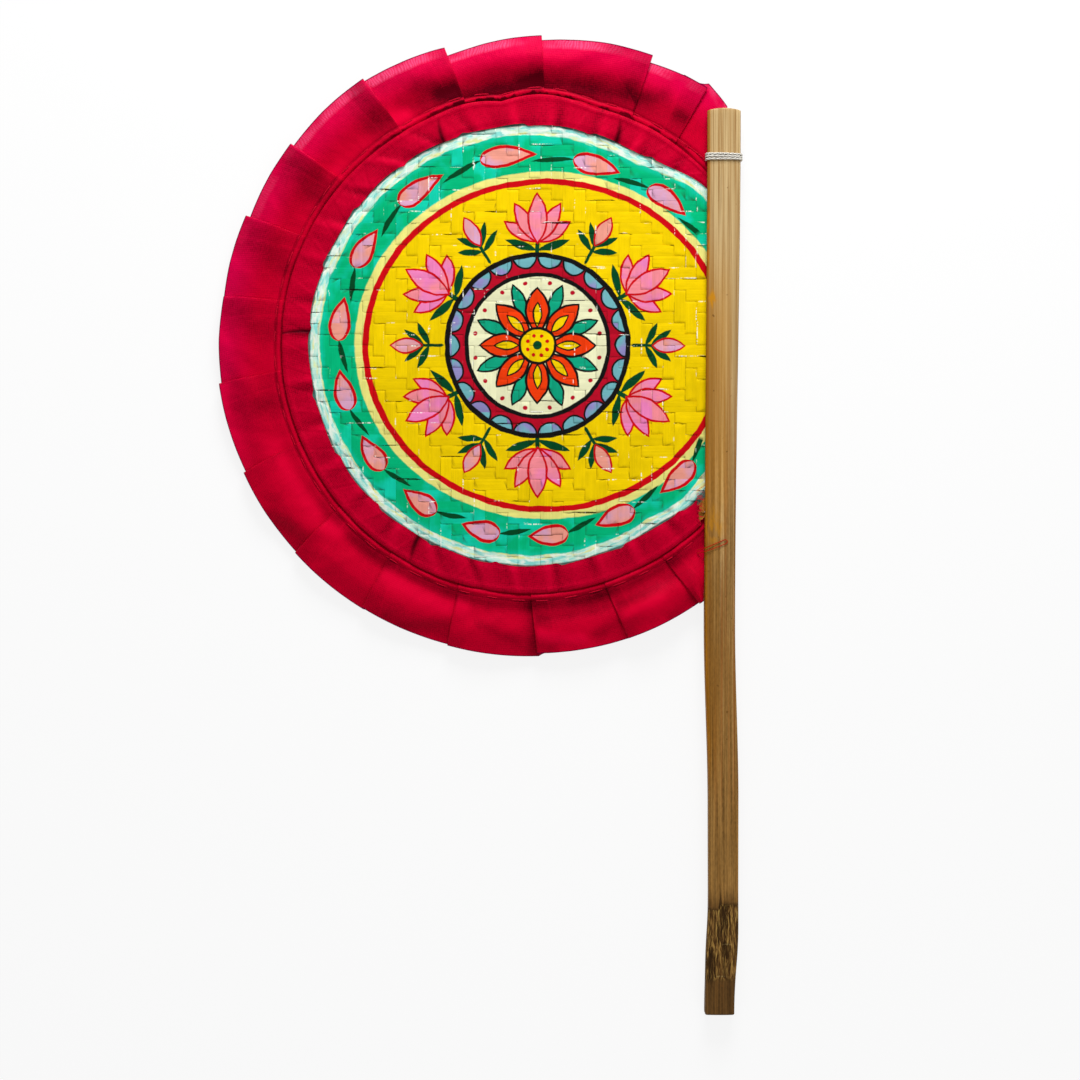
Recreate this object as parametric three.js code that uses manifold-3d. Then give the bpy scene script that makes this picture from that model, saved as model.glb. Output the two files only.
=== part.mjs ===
// Painted bamboo hand fan: a round plaited blade, bound and frilled with satin, pinched on edge
// in the slit of a split bamboo stick whose tip is lashed shut with cotton thread.
// Millimetres. X runs across the blade, Y along the stick towards its tip, Z out of the painted face.
// The origin is the middle of the stick's butt end, and the blade's middle plane is z = 0.

import * as THREE from "three";
import { mergeVertices } from "three/addons/utils/BufferGeometryUtils.js";
import Module from "manifold-3d";

const wasm = await Module();
wasm.setup();

// Stick: a flat-backed split of a thick bamboo culm, planed to a low crown in front.
// Its length follows from the blade's height and from how far its tip stops short of the frill's top.
const tipShort = 9.4;
const stickThickness = 10;
const tipWidth = 16.6;
const neckWidth = 15.2;
const buttWidth = 14.6;
const frontCrown = 0.5;
const edgeBevel = 1.2;
const endBevel = 0.8;
// The culm's joint ring, which the maker left in the grip.
const jointHeight = 34;
const jointSwell = 0.9;
const jointLength = 12;
// How far the stick wanders sideways at its tip, at the slit's foot and in the grip, and where the
// grip begins and ends.
const tipSway = 2.2;
const footSway = 0.1;
const gripSway = 1.9;
const gripStart = 54;
const gripEnd = 106;

// Slit: split down from the tip past the frill's lower end, and running out to a hairline.
const slitBeyond = 12.6;
const slitRunOut = 16;
const pinchClearance = 0.3;

// Blade: splits plaited over and under in a twill, then trimmed round, with its centre above the
// stick's butt and to the left of the stick by a share of its own radius.
const bladeHeight = 334;
const bladeShare = 0.7766;
const matRadius = 122.5;
const matTuck = 11;
const weftCount = 22;
const splitGap = 0.6;
const splitThickness = 0.6;
const weaveClearance = 0.2;
const twillFloat = 2;

// Facing: a satin strip laid over the blade's rim on each face, with a rolled outer hem.
const facingWidth = 15.1;
const facingThickness = 0.3;
const hemReach = 3.3;
const hemWidth = 2.6;
const hemHeight = 0.3;
const seatClearance = 0.3;

// Frill: a satin ribbon laid in knife pleats, its header stitched between the two facings.
const frillWidth = 32.5;
const headerGap = 0.5;
const clothThickness = 0.25;
const foldGap = 0.2;
const pleatPitch = 16.55;
const pleatDepth = 2.8;
const firstFold = 39.05;
const frillFlare = 3;
const frillDroop = 4;
const droopEase = 45;
// The upper end is tucked into the slit, and the lower end stops short of the stick.
const frillTuck = 8.5;
const frillStop = 0.6;

// Lashing: cotton thread wound round both prongs, its two ends drawn into the slit on the right.
const lashingAboveHem = 5.1;
const lashingThread = 0.9;
const lashingTurns = 3;
const lashingTuck = 4;
const turnGap = 0.5;
const threadClearance = 0.3;

// Loose end of the seam's sewing thread, a bight that lies over the stick's front.
const seamThread = 0.4;

// Facet counts.
const roundSteps = 72;
const threadSides = 6;
const tailSides = 8;
const tailSteps = 34;

// What follows from the driving dimensions.
const halfStick = stickThickness / 2;
const splitPitch = (2 * matRadius) / weftCount;
const splitWidth = splitPitch - splitGap;
const weaveLift = (splitThickness + weaveClearance) / 2;
const matHalf = weaveLift + splitThickness / 2;
const foldRise = clothThickness + foldGap;
const frillHalf = foldRise + clothThickness / 2;
const facingSeat = Math.max(matHalf, frillHalf) + seatClearance;
const facingTop = facingSeat + facingThickness;
const hemTop = facingTop + hemHeight;
const slitHalf = hemTop + pinchClearance;
const hemOuterRadius = matRadius + hemReach;
const facingInnerRadius = hemOuterRadius - facingWidth;
const frillInnerRadius = matRadius + headerGap;
const frillOuterRadius = frillInnerRadius + frillWidth;
const turnPitch = lashingThread + turnGap;
const bladeOffset = bladeShare * matRadius;
const bladeCentre = new THREE.Vector2(-bladeOffset, bladeHeight);

// Height above the blade's centre at which a circle round it meets the left edge of the stick's tip.
const edgeFromCentre = bladeOffset + tipSway - tipWidth / 2;
const riseAtStick = (radius) => Math.sqrt(radius ** 2 - edgeFromCentre ** 2);
const lashingHeight = bladeHeight + riseAtStick(hemOuterRadius) + lashingAboveHem;
const stickLength = bladeHeight + riseAtStick(frillOuterRadius) - tipShort;
const slitFoot = bladeHeight - riseAtStick(frillOuterRadius) - slitBeyond;

const smoothstep = THREE.MathUtils.smoothstep;
const radians = THREE.MathUtils.degToRad;
const degrees = THREE.MathUtils.radToDeg;

// Plan width and sideways wander of the stick at a height above its butt.
function stickSway(y) {
  const lower = gripSway * smoothstep(y, 0, gripStart);
  const middle = (footSway - gripSway) * smoothstep(y, gripEnd, slitFoot);
  const upper = (tipSway - footSway) * smoothstep(y, slitFoot, stickLength);
  return lower + middle + upper;
}

function stickWidth(y) {
  const lower = THREE.MathUtils.lerp(buttWidth, neckWidth, smoothstep(y, 0, slitFoot));
  const plain = THREE.MathUtils.lerp(lower, tipWidth, smoothstep(y, slitFoot, stickLength));
  const fromJoint = (y - jointHeight) / jointLength;
  return plain + jointSwell * Math.exp(-fromJoint * fromJoint);
}

const stickLeft = (y) => stickSway(y) - stickWidth(y) / 2;
const matEdge = stickLeft(bladeHeight) + matTuck;
const frillUpperEdge = stickLeft(lashingHeight) + frillTuck;
const frillLowerEdge = stickLeft(slitFoot) - frillStop;

// As many pleats as carry the frill from its first fold past its lower end at the header.
const headerEnd = 360 - degrees(Math.acos((frillLowerEdge + bladeOffset) / frillInnerRadius));
const pleatCount = Math.ceil((headerEnd - firstFold) / pleatPitch);

// Solids for joining and cutting, and back again.
function solidOf(geometry) {
  const bare = geometry.index ? geometry.toNonIndexed() : geometry.clone();
  bare.deleteAttribute("normal");
  bare.deleteAttribute("uv");
  const merged = mergeVertices(bare, 1e-4);
  return new wasm.Manifold(
    new wasm.Mesh({
      numProp: 3,
      vertProperties: merged.attributes.position.array,
      triVerts: new Uint32Array(merged.index.array),
    }),
  );
}

function geometryOf(solid) {
  const mesh = solid.getMesh();
  const geometry = new THREE.BufferGeometry();
  geometry.setAttribute("position", new THREE.BufferAttribute(mesh.vertProperties, 3));
  geometry.setIndex(new THREE.BufferAttribute(mesh.triVerts, 1));
  geometry.computeVertexNormals();
  return geometry;
}

// Skin over rings of equally many points, closed at both ends by triangles between the two
// halves of each end ring. Rings run anticlockwise as seen looking back along the loft.
function loft(rings, capTriangles) {
  const count = rings[0].length;
  const points = rings.flat();
  const index = [];
  for (let r = 0; r + 1 < rings.length; r++) {
    for (let i = 0; i < count; i++) {
      const a = r * count + i;
      const b = r * count + ((i + 1) % count);
      index.push(a, b, b + count, a, b + count, a + count);
    }
  }
  const last = (rings.length - 1) * count;
  for (const [a, b, c] of capTriangles) {
    index.push(a, c, b);
    index.push(last + a, last + b, last + c);
  }
  return new THREE.BufferGeometry().setFromPoints(points).setIndex(index);
}

// Cap for a convex ring, and for a folded ribbon whose ring is one side out and the other back.
const fanCap = (count) => Array.from({ length: count - 2 }, (_, i) => [0, i + 1, i + 2]);

function ribbonCap(count) {
  const triangles = [];
  for (let i = 0; i + 1 < count / 2; i++) {
    const back = count - 1 - i;
    triangles.push([i, i + 1, back], [i + 1, back - 1, back]);
  }
  return triangles;
}

function box(x0, x1, y0, y1, z0, z1) {
  const geometry = new THREE.BoxGeometry(x1 - x0, y1 - y0, z1 - z0);
  return geometry.translate((x0 + x1) / 2, (y0 + y1) / 2, (z0 + z1) / 2);
}

// Section of the stick at a height, drawn in by an inset where its ends are eased.
function stickSection(y, inset = 0) {
  const half = stickWidth(y) / 2 - inset;
  const back = -halfStick + inset;
  const front = (x) => halfStick - inset - frontCrown * (x / half) ** 2;
  const shoulder = half - edgeBevel;
  const outline = [
    [-shoulder, back],
    [shoulder, back],
    [half, back + edgeBevel],
    [half, front(half) - edgeBevel],
    [shoulder, front(shoulder)],
    [half / 2, front(half / 2)],
    [0, front(0)],
    [-half / 2, front(half / 2)],
    [-shoulder, front(shoulder)],
    [-half, front(half) - edgeBevel],
    [-half, back + edgeBevel],
  ];
  return outline.map(([x, z]) => new THREE.Vector3(x + stickSway(y), y, z));
}

function makeHandle() {
  const stations = [endBevel];
  for (const step of [-1.4, -0.7, 0, 0.7, 1.4]) stations.push(jointHeight + step * jointLength);
  const plainSteps = 9;
  const plainStart = jointHeight + 3 * jointLength;
  const plainEnd = stickLength - endBevel;
  for (let i = 0; i <= plainSteps; i++) {
    stations.push(THREE.MathUtils.lerp(plainStart, plainEnd, i / plainSteps));
  }
  const rings = stations.map((y) => stickSection(y).reverse());
  const eased = (y) => stickSection(y, endBevel).reverse();
  rings.unshift(eased(0));
  rings.push(eased(stickLength));
  const stick = solidOf(loft(rings, fanCap(rings[0].length)));

  const wedge = new THREE.Shape();
  wedge.moveTo(slitFoot, 0);
  wedge.lineTo(slitFoot + slitRunOut, -slitHalf);
  wedge.lineTo(stickLength + slitRunOut, -slitHalf);
  wedge.lineTo(stickLength + slitRunOut, slitHalf);
  wedge.lineTo(slitFoot + slitRunOut, slitHalf);
  const across = 2 * tipWidth;
  const slit = new THREE.ExtrudeGeometry(wedge, { depth: across, bevelEnabled: false });
  slit.applyMatrix4(
    new THREE.Matrix4().makeBasis(
      new THREE.Vector3(0, 1, 0),
      new THREE.Vector3(0, 0, 1),
      new THREE.Vector3(1, 0, 0),
    ),
  );
  slit.translate(-across / 2, 0, 0);
  return geometryOf(stick.subtract(solidOf(slit)));
}

// One split of the blade as a flat ribbon along X, stepping between the two faces of the weave
// in the gaps between the splits that it crosses. Steps holds [position, face] pairs.
function ribbonAlongX(across, from, to, steps) {
  const half = splitWidth / 2;
  const stations = [[from, steps[0][1]]];
  for (let i = 1; i < steps.length; i++) {
    if (steps[i][1] === steps[i - 1][1]) continue;
    const gap = steps[i][0];
    stations.push([gap - splitGap / 2, steps[i - 1][1]], [gap + splitGap / 2, steps[i][1]]);
  }
  stations.push([to, steps.at(-1)[1]]);
  const rings = stations.map(([x, face]) => {
    const z = face * weaveLift;
    const low = z - splitThickness / 2;
    const high = z + splitThickness / 2;
    return [
      new THREE.Vector3(x, across - half, low),
      new THREE.Vector3(x, across + half, low),
      new THREE.Vector3(x, across + half, high),
      new THREE.Vector3(x, across - half, high),
    ];
  });
  return loft(rings, fanCap(4));
}

// The round die that trims the plaited square: the blade's outline with its straight tucked edge.
function makeTrimDie() {
  const tall = 4 * matHalf;
  const disc = new THREE.CylinderGeometry(matRadius, matRadius, tall, roundSteps);
  disc.rotateX(Math.PI / 2).translate(bladeCentre.x, bladeCentre.y, 0);
  const reach = 2 * matRadius;
  const beyond = box(
    matEdge,
    matEdge + reach,
    bladeHeight - reach,
    bladeHeight + reach,
    -tall,
    tall,
  );
  return solidOf(disc).subtract(solidOf(beyond));
}

// Places of the splits' middle lines on one side or the other of the blade's centre, from the
// lowest to the highest, leaving out any that the trimming would cut to a sliver.
function splitPlaces(lowest, highest) {
  const sliver = 0.35 * splitWidth;
  const first = Math.ceil((lowest + sliver - splitWidth / 2) / splitPitch - 0.5);
  const last = Math.floor((highest - sliver + splitWidth / 2) / splitPitch - 0.5);
  return Array.from({ length: last - first + 1 }, (_, i) => first + i);
}

const placeOf = (index) => (index + 0.5) * splitPitch;

// Over three, under three and so on: which face of the weave a crossing puts the weft on.
function weftFace(weft, warp) {
  const cycle = 2 * twillFloat;
  const phase = (((weft + warp) % cycle) + cycle) % cycle;
  return phase < twillFloat ? 1 : -1;
}

function makeBlade() {
  const die = makeTrimDie();
  const wefts = splitPlaces(-matRadius, matRadius);
  const warps = splitPlaces(-matRadius, matEdge - bladeCentre.x);
  const margin = splitPitch;
  const stepsFor = (crossed, face) =>
    crossed.map((index) => [placeOf(index) - splitPitch / 2, face(index)]);
  const span = (crossed) => [placeOf(crossed[0]) - margin, placeOf(crossed.at(-1)) + margin];

  const pieces = [];
  wefts.forEach((weft, i) => {
    const steps = stepsFor(warps, (warp) => weftFace(weft, warp));
    const ribbon = ribbonAlongX(placeOf(weft), ...span(warps), steps);
    ribbon.translate(bladeCentre.x, bladeCentre.y, 0);
    pieces.push([`weft_${String(i + 1).padStart(2, "0")}`, ribbon]);
  });
  warps.forEach((warp, i) => {
    const steps = stepsFor(wefts, (weft) => -weftFace(weft, warp));
    const ribbon = ribbonAlongX(-placeOf(warp), ...span(wefts), steps);
    ribbon.rotateZ(Math.PI / 2).translate(bladeCentre.x, bladeCentre.y, 0);
    pieces.push([`warp_${String(i + 1).padStart(2, "0")}`, ribbon]);
  });
  return pieces.map(([name, ribbon]) => [name, geometryOf(solidOf(ribbon).intersect(die))]);
}

// What the stick's edge trims off the satin: everything past the tuck above the blade's centre,
// and past the stop below it.
function makeEndTrim() {
  const reach = 2 * frillOuterRadius;
  const tall = stickThickness;
  const upper = box(frillUpperEdge, reach, bladeHeight, bladeHeight + reach, -tall, tall);
  const lower = box(frillLowerEdge, reach, bladeHeight - reach, bladeHeight, -tall, tall);
  return solidOf(upper).add(solidOf(lower));
}

// The slot through the satin that the lashing passes through on the stick's left edge.
function makeLashingSlot() {
  const left = stickLeft(lashingHeight);
  const room = lashingThread + 2 * threadClearance;
  const halfTall = (lashingTurns * turnPitch) / 2 + room;
  return solidOf(
    box(
      left - room - threadClearance,
      left + threadClearance,
      lashingHeight - halfTall,
      lashingHeight + halfTall,
      -stickThickness,
      stickThickness,
    ),
  );
}

function makeFacing(side, endTrim, lashingSlot) {
  const hemInner = hemOuterRadius - hemWidth;
  const hemMiddle = hemOuterRadius - hemWidth / 2;
  const profile = [
    [facingInnerRadius, facingSeat],
    [hemOuterRadius, facingSeat],
    [hemOuterRadius, facingTop],
    [hemMiddle, hemTop],
    [hemInner, facingTop],
    [facingInnerRadius, facingTop],
    [facingInnerRadius, facingSeat],
  ].map(([r, z]) => new THREE.Vector2(r, z));
  const ring = new THREE.LatheGeometry(profile, roundSteps);
  ring.rotateX(side > 0 ? Math.PI / 2 : -Math.PI / 2);
  ring.translate(bladeCentre.x, bladeCentre.y, 0);
  return geometryOf(solidOf(ring).subtract(endTrim).subtract(lashingSlot));
}

// Run of the pleated ribbon as [angle, level, rim] corners: each panel starts at a fold on top,
// slopes down under the next one, and turns back there to make its fold.
function pleatRun() {
  const ease = pleatDepth / 2;
  const run = [];
  for (let k = 0; k < pleatCount; k++) {
    const fold = firstFold + k * pleatPitch;
    run.push(
      [fold + pleatDepth, -1, -0.5],
      [fold + pleatDepth, 0, -0.4],
      [fold, 0, 0.4],
      [fold, 1, 0.5],
      [fold + pleatDepth + ease, 1, 0.3],
      [fold + (pleatPitch + pleatDepth) / 2, 0, -0.05],
      [fold + pleatPitch - ease, -1, -0.4],
    );
  }
  return run;
}

// The frill hangs to the height of the stick's back, but runs level into the slit at both ends.
function droopAt(angle) {
  const last = firstFold + pleatCount * pleatPitch;
  const rise = smoothstep(angle, firstFold + pleatPitch, firstFold + pleatPitch + droopEase);
  const fall = 1 - smoothstep(angle, last - pleatPitch - droopEase, last - pleatPitch);
  return frillDroop * rise * fall;
}

function makeFrill(endTrim, lashingSlot) {
  const run = pleatRun();
  const spanSteps = 5;
  const ringAt = (step) => {
    const share = step / (spanSteps - 1);
    const place = ([angle, level, rim]) => {
      const r = frillInnerRadius + (frillWidth + rim * frillFlare) * share;
      return { r, angle: radians(angle), z: level * foldRise - droopAt(angle) * share * share };
    };
    const places = run.map(place);
    // Each corner is moved to either side of the ribbon along the mean of its two edges' normals.
    const offset = (i, sign) => {
      const here = places[i];
      const normals = [];
      for (const [a, b] of [[i - 1, i], [i, i + 1]]) {
        if (!places[a] || !places[b]) continue;
        const along = here.r * (places[b].angle - places[a].angle);
        const flat = run[b][1] - run[a][1];
        const up = flat * foldRise;
        const length = Math.hypot(along, up);
        normals.push([-up / length, along / length]);
      }
      const [first, second = first] = normals;
      const lean = 1 + first[0] * second[0] + first[1] * second[1];
      const reach = (sign * clothThickness) / 2 / lean;
      const angle = here.angle + (reach * (first[0] + second[0])) / here.r;
      const z = here.z + reach * (first[1] + second[1]);
      const x = bladeCentre.x + here.r * Math.cos(angle);
      return new THREE.Vector3(x, bladeCentre.y + here.r * Math.sin(angle), z);
    };
    const out = run.map((_, i) => offset(i, -1));
    const back = run.map((_, i) => offset(run.length - 1 - i, 1));
    return [...out, ...back];
  };
  const rings = Array.from({ length: spanSteps }, (_, step) => ringAt(step));
  const ribbon = solidOf(loft(rings, ribbonCap(2 * run.length)));
  return geometryOf(ribbon.subtract(endTrim).subtract(lashingSlot));
}

// Line of the lashing: out of the slit on the right, round the stick's section at its offset,
// climbing a pitch with each turn, and back into the slit.
function lashingLine() {
  const offset = lashingThread / 2 + threadClearance;
  const section = stickSection(lashingHeight).map((p) => new THREE.Vector2(p.x, p.z));
  const loop = [];
  section.forEach((a, i) => {
    const b = section[(i + 1) % section.length];
    const along = b.clone().sub(a).normalize();
    const out = new THREE.Vector2(along.y, -along.x).multiplyScalar(offset);
    loop.push(a.clone().add(out), b.clone().add(out));
  });
  // The right edge runs from loop[4] to loop[5], past the mouth of the slit.
  const mouth = new THREE.Vector2(loop[4].x, 0);
  const turn = [mouth, ...loop.slice(5), ...loop.slice(0, 5), mouth];
  const lengths = [0];
  for (let i = 1; i < turn.length; i++) {
    lengths.push(lengths[i - 1] + turn[i].distanceTo(turn[i - 1]));
  }
  const firstHeight = lashingHeight - (lashingTurns * turnPitch) / 2;
  const lastHeight = firstHeight + lashingTurns * turnPitch;
  const points = [new THREE.Vector3(mouth.x - lashingTuck, firstHeight, 0)];
  for (let n = 0; n < lashingTurns; n++) {
    turn.slice(0, -1).forEach((p, i) => {
      const climbed = n + lengths[i] / lengths.at(-1);
      points.push(new THREE.Vector3(p.x, firstHeight + climbed * turnPitch, p.y));
    });
  }
  points.push(new THREE.Vector3(mouth.x, lastHeight, 0));
  points.push(new THREE.Vector3(mouth.x - lashingTuck, lastHeight, 0));
  return points;
}

// A round tube along straight runs, mitred at the corners.
function threadTube(points, diameter, sides) {
  const rings = points.map((point, i) => {
    const before = points[Math.max(i - 1, 0)];
    const after = points[Math.min(i + 1, points.length - 1)];
    const along = after.clone().sub(before).normalize();
    const up = new THREE.Vector3(0, 1, 0);
    const side = new THREE.Vector3().crossVectors(up, along).normalize();
    const over = new THREE.Vector3().crossVectors(along, side);
    return Array.from({ length: sides }, (_, k) => {
      const turn = (2 * Math.PI * k) / sides;
      const spoke = side.clone().multiplyScalar(Math.cos(turn)).addScaledVector(over, Math.sin(turn));
      return point.clone().addScaledVector(spoke, diameter / 2);
    });
  });
  return loft(rings, fanCap(sides));
}

// Least distance between the surfaces of two stretches of a line that aren't neighbours.
function leastGap(points, diameter) {
  const line = new THREE.CurvePath();
  for (let i = 0; i + 1 < points.length; i++) {
    line.add(new THREE.LineCurve3(points[i], points[i + 1]));
  }
  const samples = line.getSpacedPoints(points.length * 4);
  const apart = Math.ceil((3 * diameter) / (line.getLength() / samples.length));
  let least = Infinity;
  samples.forEach((a, i) => {
    for (let j = i + apart; j < samples.length; j++) {
      least = Math.min(least, a.distanceTo(samples[j]) - diameter);
    }
  });
  return least;
}

function makeLashing() {
  const points = lashingLine();
  console.log(`tip_lashing: least gap between turns ${leastGap(points, lashingThread).toFixed(2)} mm`);
  return threadTube(points, lashingThread, threadSides);
}

// Route of the seam's loose bight: out of the frill's lower end near its seam, over the stick's
// left edge, and back beside itself.
function seamThreadRoute() {
  const edge = stickLeft(slitFoot);
  const root = edge - 3.6;
  const rootRadius = frillInnerRadius + 0.34 * frillWidth;
  const foot = bladeHeight - Math.sqrt(rootRadius ** 2 - (root - bladeCentre.x) ** 2);
  const low = frillHalf + threadClearance + seamThread / 2;
  const high = halfStick + threadClearance + seamThread / 2;
  return [
    [root, foot, low],
    [edge - 1.8, foot + 0.3, low + 1.4],
    [edge - 0.9, foot + 0.6, high - 0.8],
    [edge + 0.9, foot + 1.1, high],
    [edge + 4.0, foot + 2.2, high],
    [edge + 8.0, foot + 3.8, high],
    [edge + 10.6, foot + 4.8, high],
    [edge + 11.2, foot + 5.3, high],
    [edge + 11.2, foot + 6.1, high],
    [edge + 10.6, foot + 6.7, high],
    [edge + 9.8, foot + 6.7, high],
    [edge + 8.0, foot + 5.9, high],
    [edge + 4.0, foot + 4.2, high],
    [edge + 0.9, foot + 2.9, high],
    [edge - 0.9, foot + 2.3, high - 0.8],
    [edge - 1.8, foot + 1.9, low + 1.4],
    [root, foot + 1.7, low],
  ].map((p) => new THREE.Vector3(...p));
}

function makeSeamThreadEnd() {
  const round = new THREE.Shape(
    Array.from({ length: tailSides }, (_, k) => {
      const turn = (2 * Math.PI * k) / tailSides;
      return new THREE.Vector2(Math.cos(turn), Math.sin(turn)).multiplyScalar(seamThread / 2);
    }),
  );
  return new THREE.ExtrudeGeometry(round, {
    steps: tailSteps,
    bevelEnabled: false,
    extrudePath: new THREE.CatmullRomCurve3(seamThreadRoute()),
  });
}

const finish = (color, roughness) =>
  new THREE.MeshStandardMaterial({ color, roughness, metalness: 0 });
const stickBamboo = finish("#b08a52", 0.55);
const paintedSplit = finish("#e8c40c", 0.6);
const redSatin = finish("#c00028", 0.45);
const whiteCotton = finish("#e8e4da", 0.8);
const redCotton = finish("#b02a1c", 0.8);

function assemble() {
  const fan = new THREE.Group();
  const place = (name, geometry, material) => {
    const mesh = new THREE.Mesh(geometry, material);
    mesh.name = name;
    fan.add(mesh);
  };
  const endTrim = makeEndTrim();
  const lashingSlot = makeLashingSlot();
  place("handle", makeHandle(), stickBamboo);
  place("tip_lashing", makeLashing(), whiteCotton);
  for (const [name, split] of makeBlade()) place(name, split, paintedSplit);
  place("facing_front", makeFacing(1, endTrim, lashingSlot), redSatin);
  place("facing_back", makeFacing(-1, endTrim, lashingSlot), redSatin);
  place("frill", makeFrill(endTrim, lashingSlot), redSatin);
  place("seam_thread_end", makeSeamThreadEnd(), redCotton);
  return fan;
}

export default assemble();
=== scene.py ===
"""Painted bamboo hand fan: the looks of its stick, plaited blade, satin trim and threads.

The file is laid out as an add-on and run as a script. It loads the packed frame, registers its classes,
and calls one operator for each piece or group of like pieces and one for the stage.
"""

import math

import bpy
import numpy as np
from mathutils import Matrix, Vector


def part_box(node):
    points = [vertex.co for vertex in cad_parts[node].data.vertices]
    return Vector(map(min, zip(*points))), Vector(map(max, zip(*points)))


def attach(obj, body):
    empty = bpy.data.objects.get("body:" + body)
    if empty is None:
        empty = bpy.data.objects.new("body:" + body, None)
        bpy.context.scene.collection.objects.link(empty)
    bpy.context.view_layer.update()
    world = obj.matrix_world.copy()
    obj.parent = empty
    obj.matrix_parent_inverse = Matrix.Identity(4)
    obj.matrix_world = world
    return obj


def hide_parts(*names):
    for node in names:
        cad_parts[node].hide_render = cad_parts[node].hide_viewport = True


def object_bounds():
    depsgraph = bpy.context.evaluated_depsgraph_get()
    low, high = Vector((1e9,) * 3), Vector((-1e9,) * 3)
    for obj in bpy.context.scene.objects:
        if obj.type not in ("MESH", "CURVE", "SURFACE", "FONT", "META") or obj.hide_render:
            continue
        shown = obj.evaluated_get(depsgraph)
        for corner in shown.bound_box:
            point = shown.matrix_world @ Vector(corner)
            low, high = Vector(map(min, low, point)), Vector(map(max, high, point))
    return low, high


bl_info = {
    "name": "Painted Bamboo Hand Fan",
    "version": (1, 0, 0),
    "blender": (4, 5, 0),
    "location": "View3D > Sidebar > Fan",
    "description": "Builds a plaited and painted hand fan with a satin frill round its packed frame",
    "category": "Add Mesh",
}

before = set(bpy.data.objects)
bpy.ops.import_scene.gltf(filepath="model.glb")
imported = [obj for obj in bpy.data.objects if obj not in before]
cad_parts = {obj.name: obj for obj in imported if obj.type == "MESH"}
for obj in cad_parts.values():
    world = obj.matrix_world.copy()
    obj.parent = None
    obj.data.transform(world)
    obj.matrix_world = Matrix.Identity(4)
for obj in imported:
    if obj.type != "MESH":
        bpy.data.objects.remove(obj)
CAD_BOX = [list(corner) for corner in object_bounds()]
MM = 0.001
TURN = 2.0 * math.pi
WEFT_NODES = sorted(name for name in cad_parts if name.startswith("weft_"))
WARP_NODES = sorted(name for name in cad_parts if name.startswith("warp_"))


def span(names):
    """Lowest and highest corner of several nodes together."""
    boxes = np.array([[list(corner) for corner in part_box(name)] for name in names])
    return boxes[:, 0].min(0), boxes[:, 1].max(0)


HANDLE_LOW, HANDLE_HIGH = span(["handle"])
LASHING_LOW, LASHING_HIGH = span(["tip_lashing"])
BLADE_LOW, BLADE_HIGH = span(WARP_NODES)
BLADE_RADIUS = float(BLADE_HIGH[1] - BLADE_LOW[1]) / 2
BLADE_X = float(BLADE_LOW[0]) + BLADE_RADIUS
BLADE_Y = float(BLADE_LOW[1]) + BLADE_RADIUS

# The frill's pleats, round the blade from +X: degrees of each fold at the rim, and millimetres by which the
# rim stands past its plain circle at the fold and at the far end of the panel that starts there.
PLEATS = (
    (55.6, 1.0, -1.5), (67.2, 2.0, -2.5), (88.0, -0.5, -4.5), (106.2, -0.5, 1.0),
    (122.2, 2.0, -0.5), (140.0, 1.0, -1.5), (155.6, 0.5, -0.5), (171.1, -0.5, 0.0),
    (187.2, 1.0, 0.0), (204.2, 1.0, 0.5), (221.7, 1.0, 0.5), (237.7, 0.0, -0.5),
    (254.9, 0.0, 0.0), (271.7, -1.5, -1.0), (288.9, -1.0, -1.5), (303.6, -1.0, -1.0),
)
# The same two rim values for the first panel, which starts in the slit.
START_RIM = (-0.5, 3.5)

# Share of the front's painted shade and highlights, in its hollows and soft folds, that the frill's back
# has.
BACK_SHADE = 0.25
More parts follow.
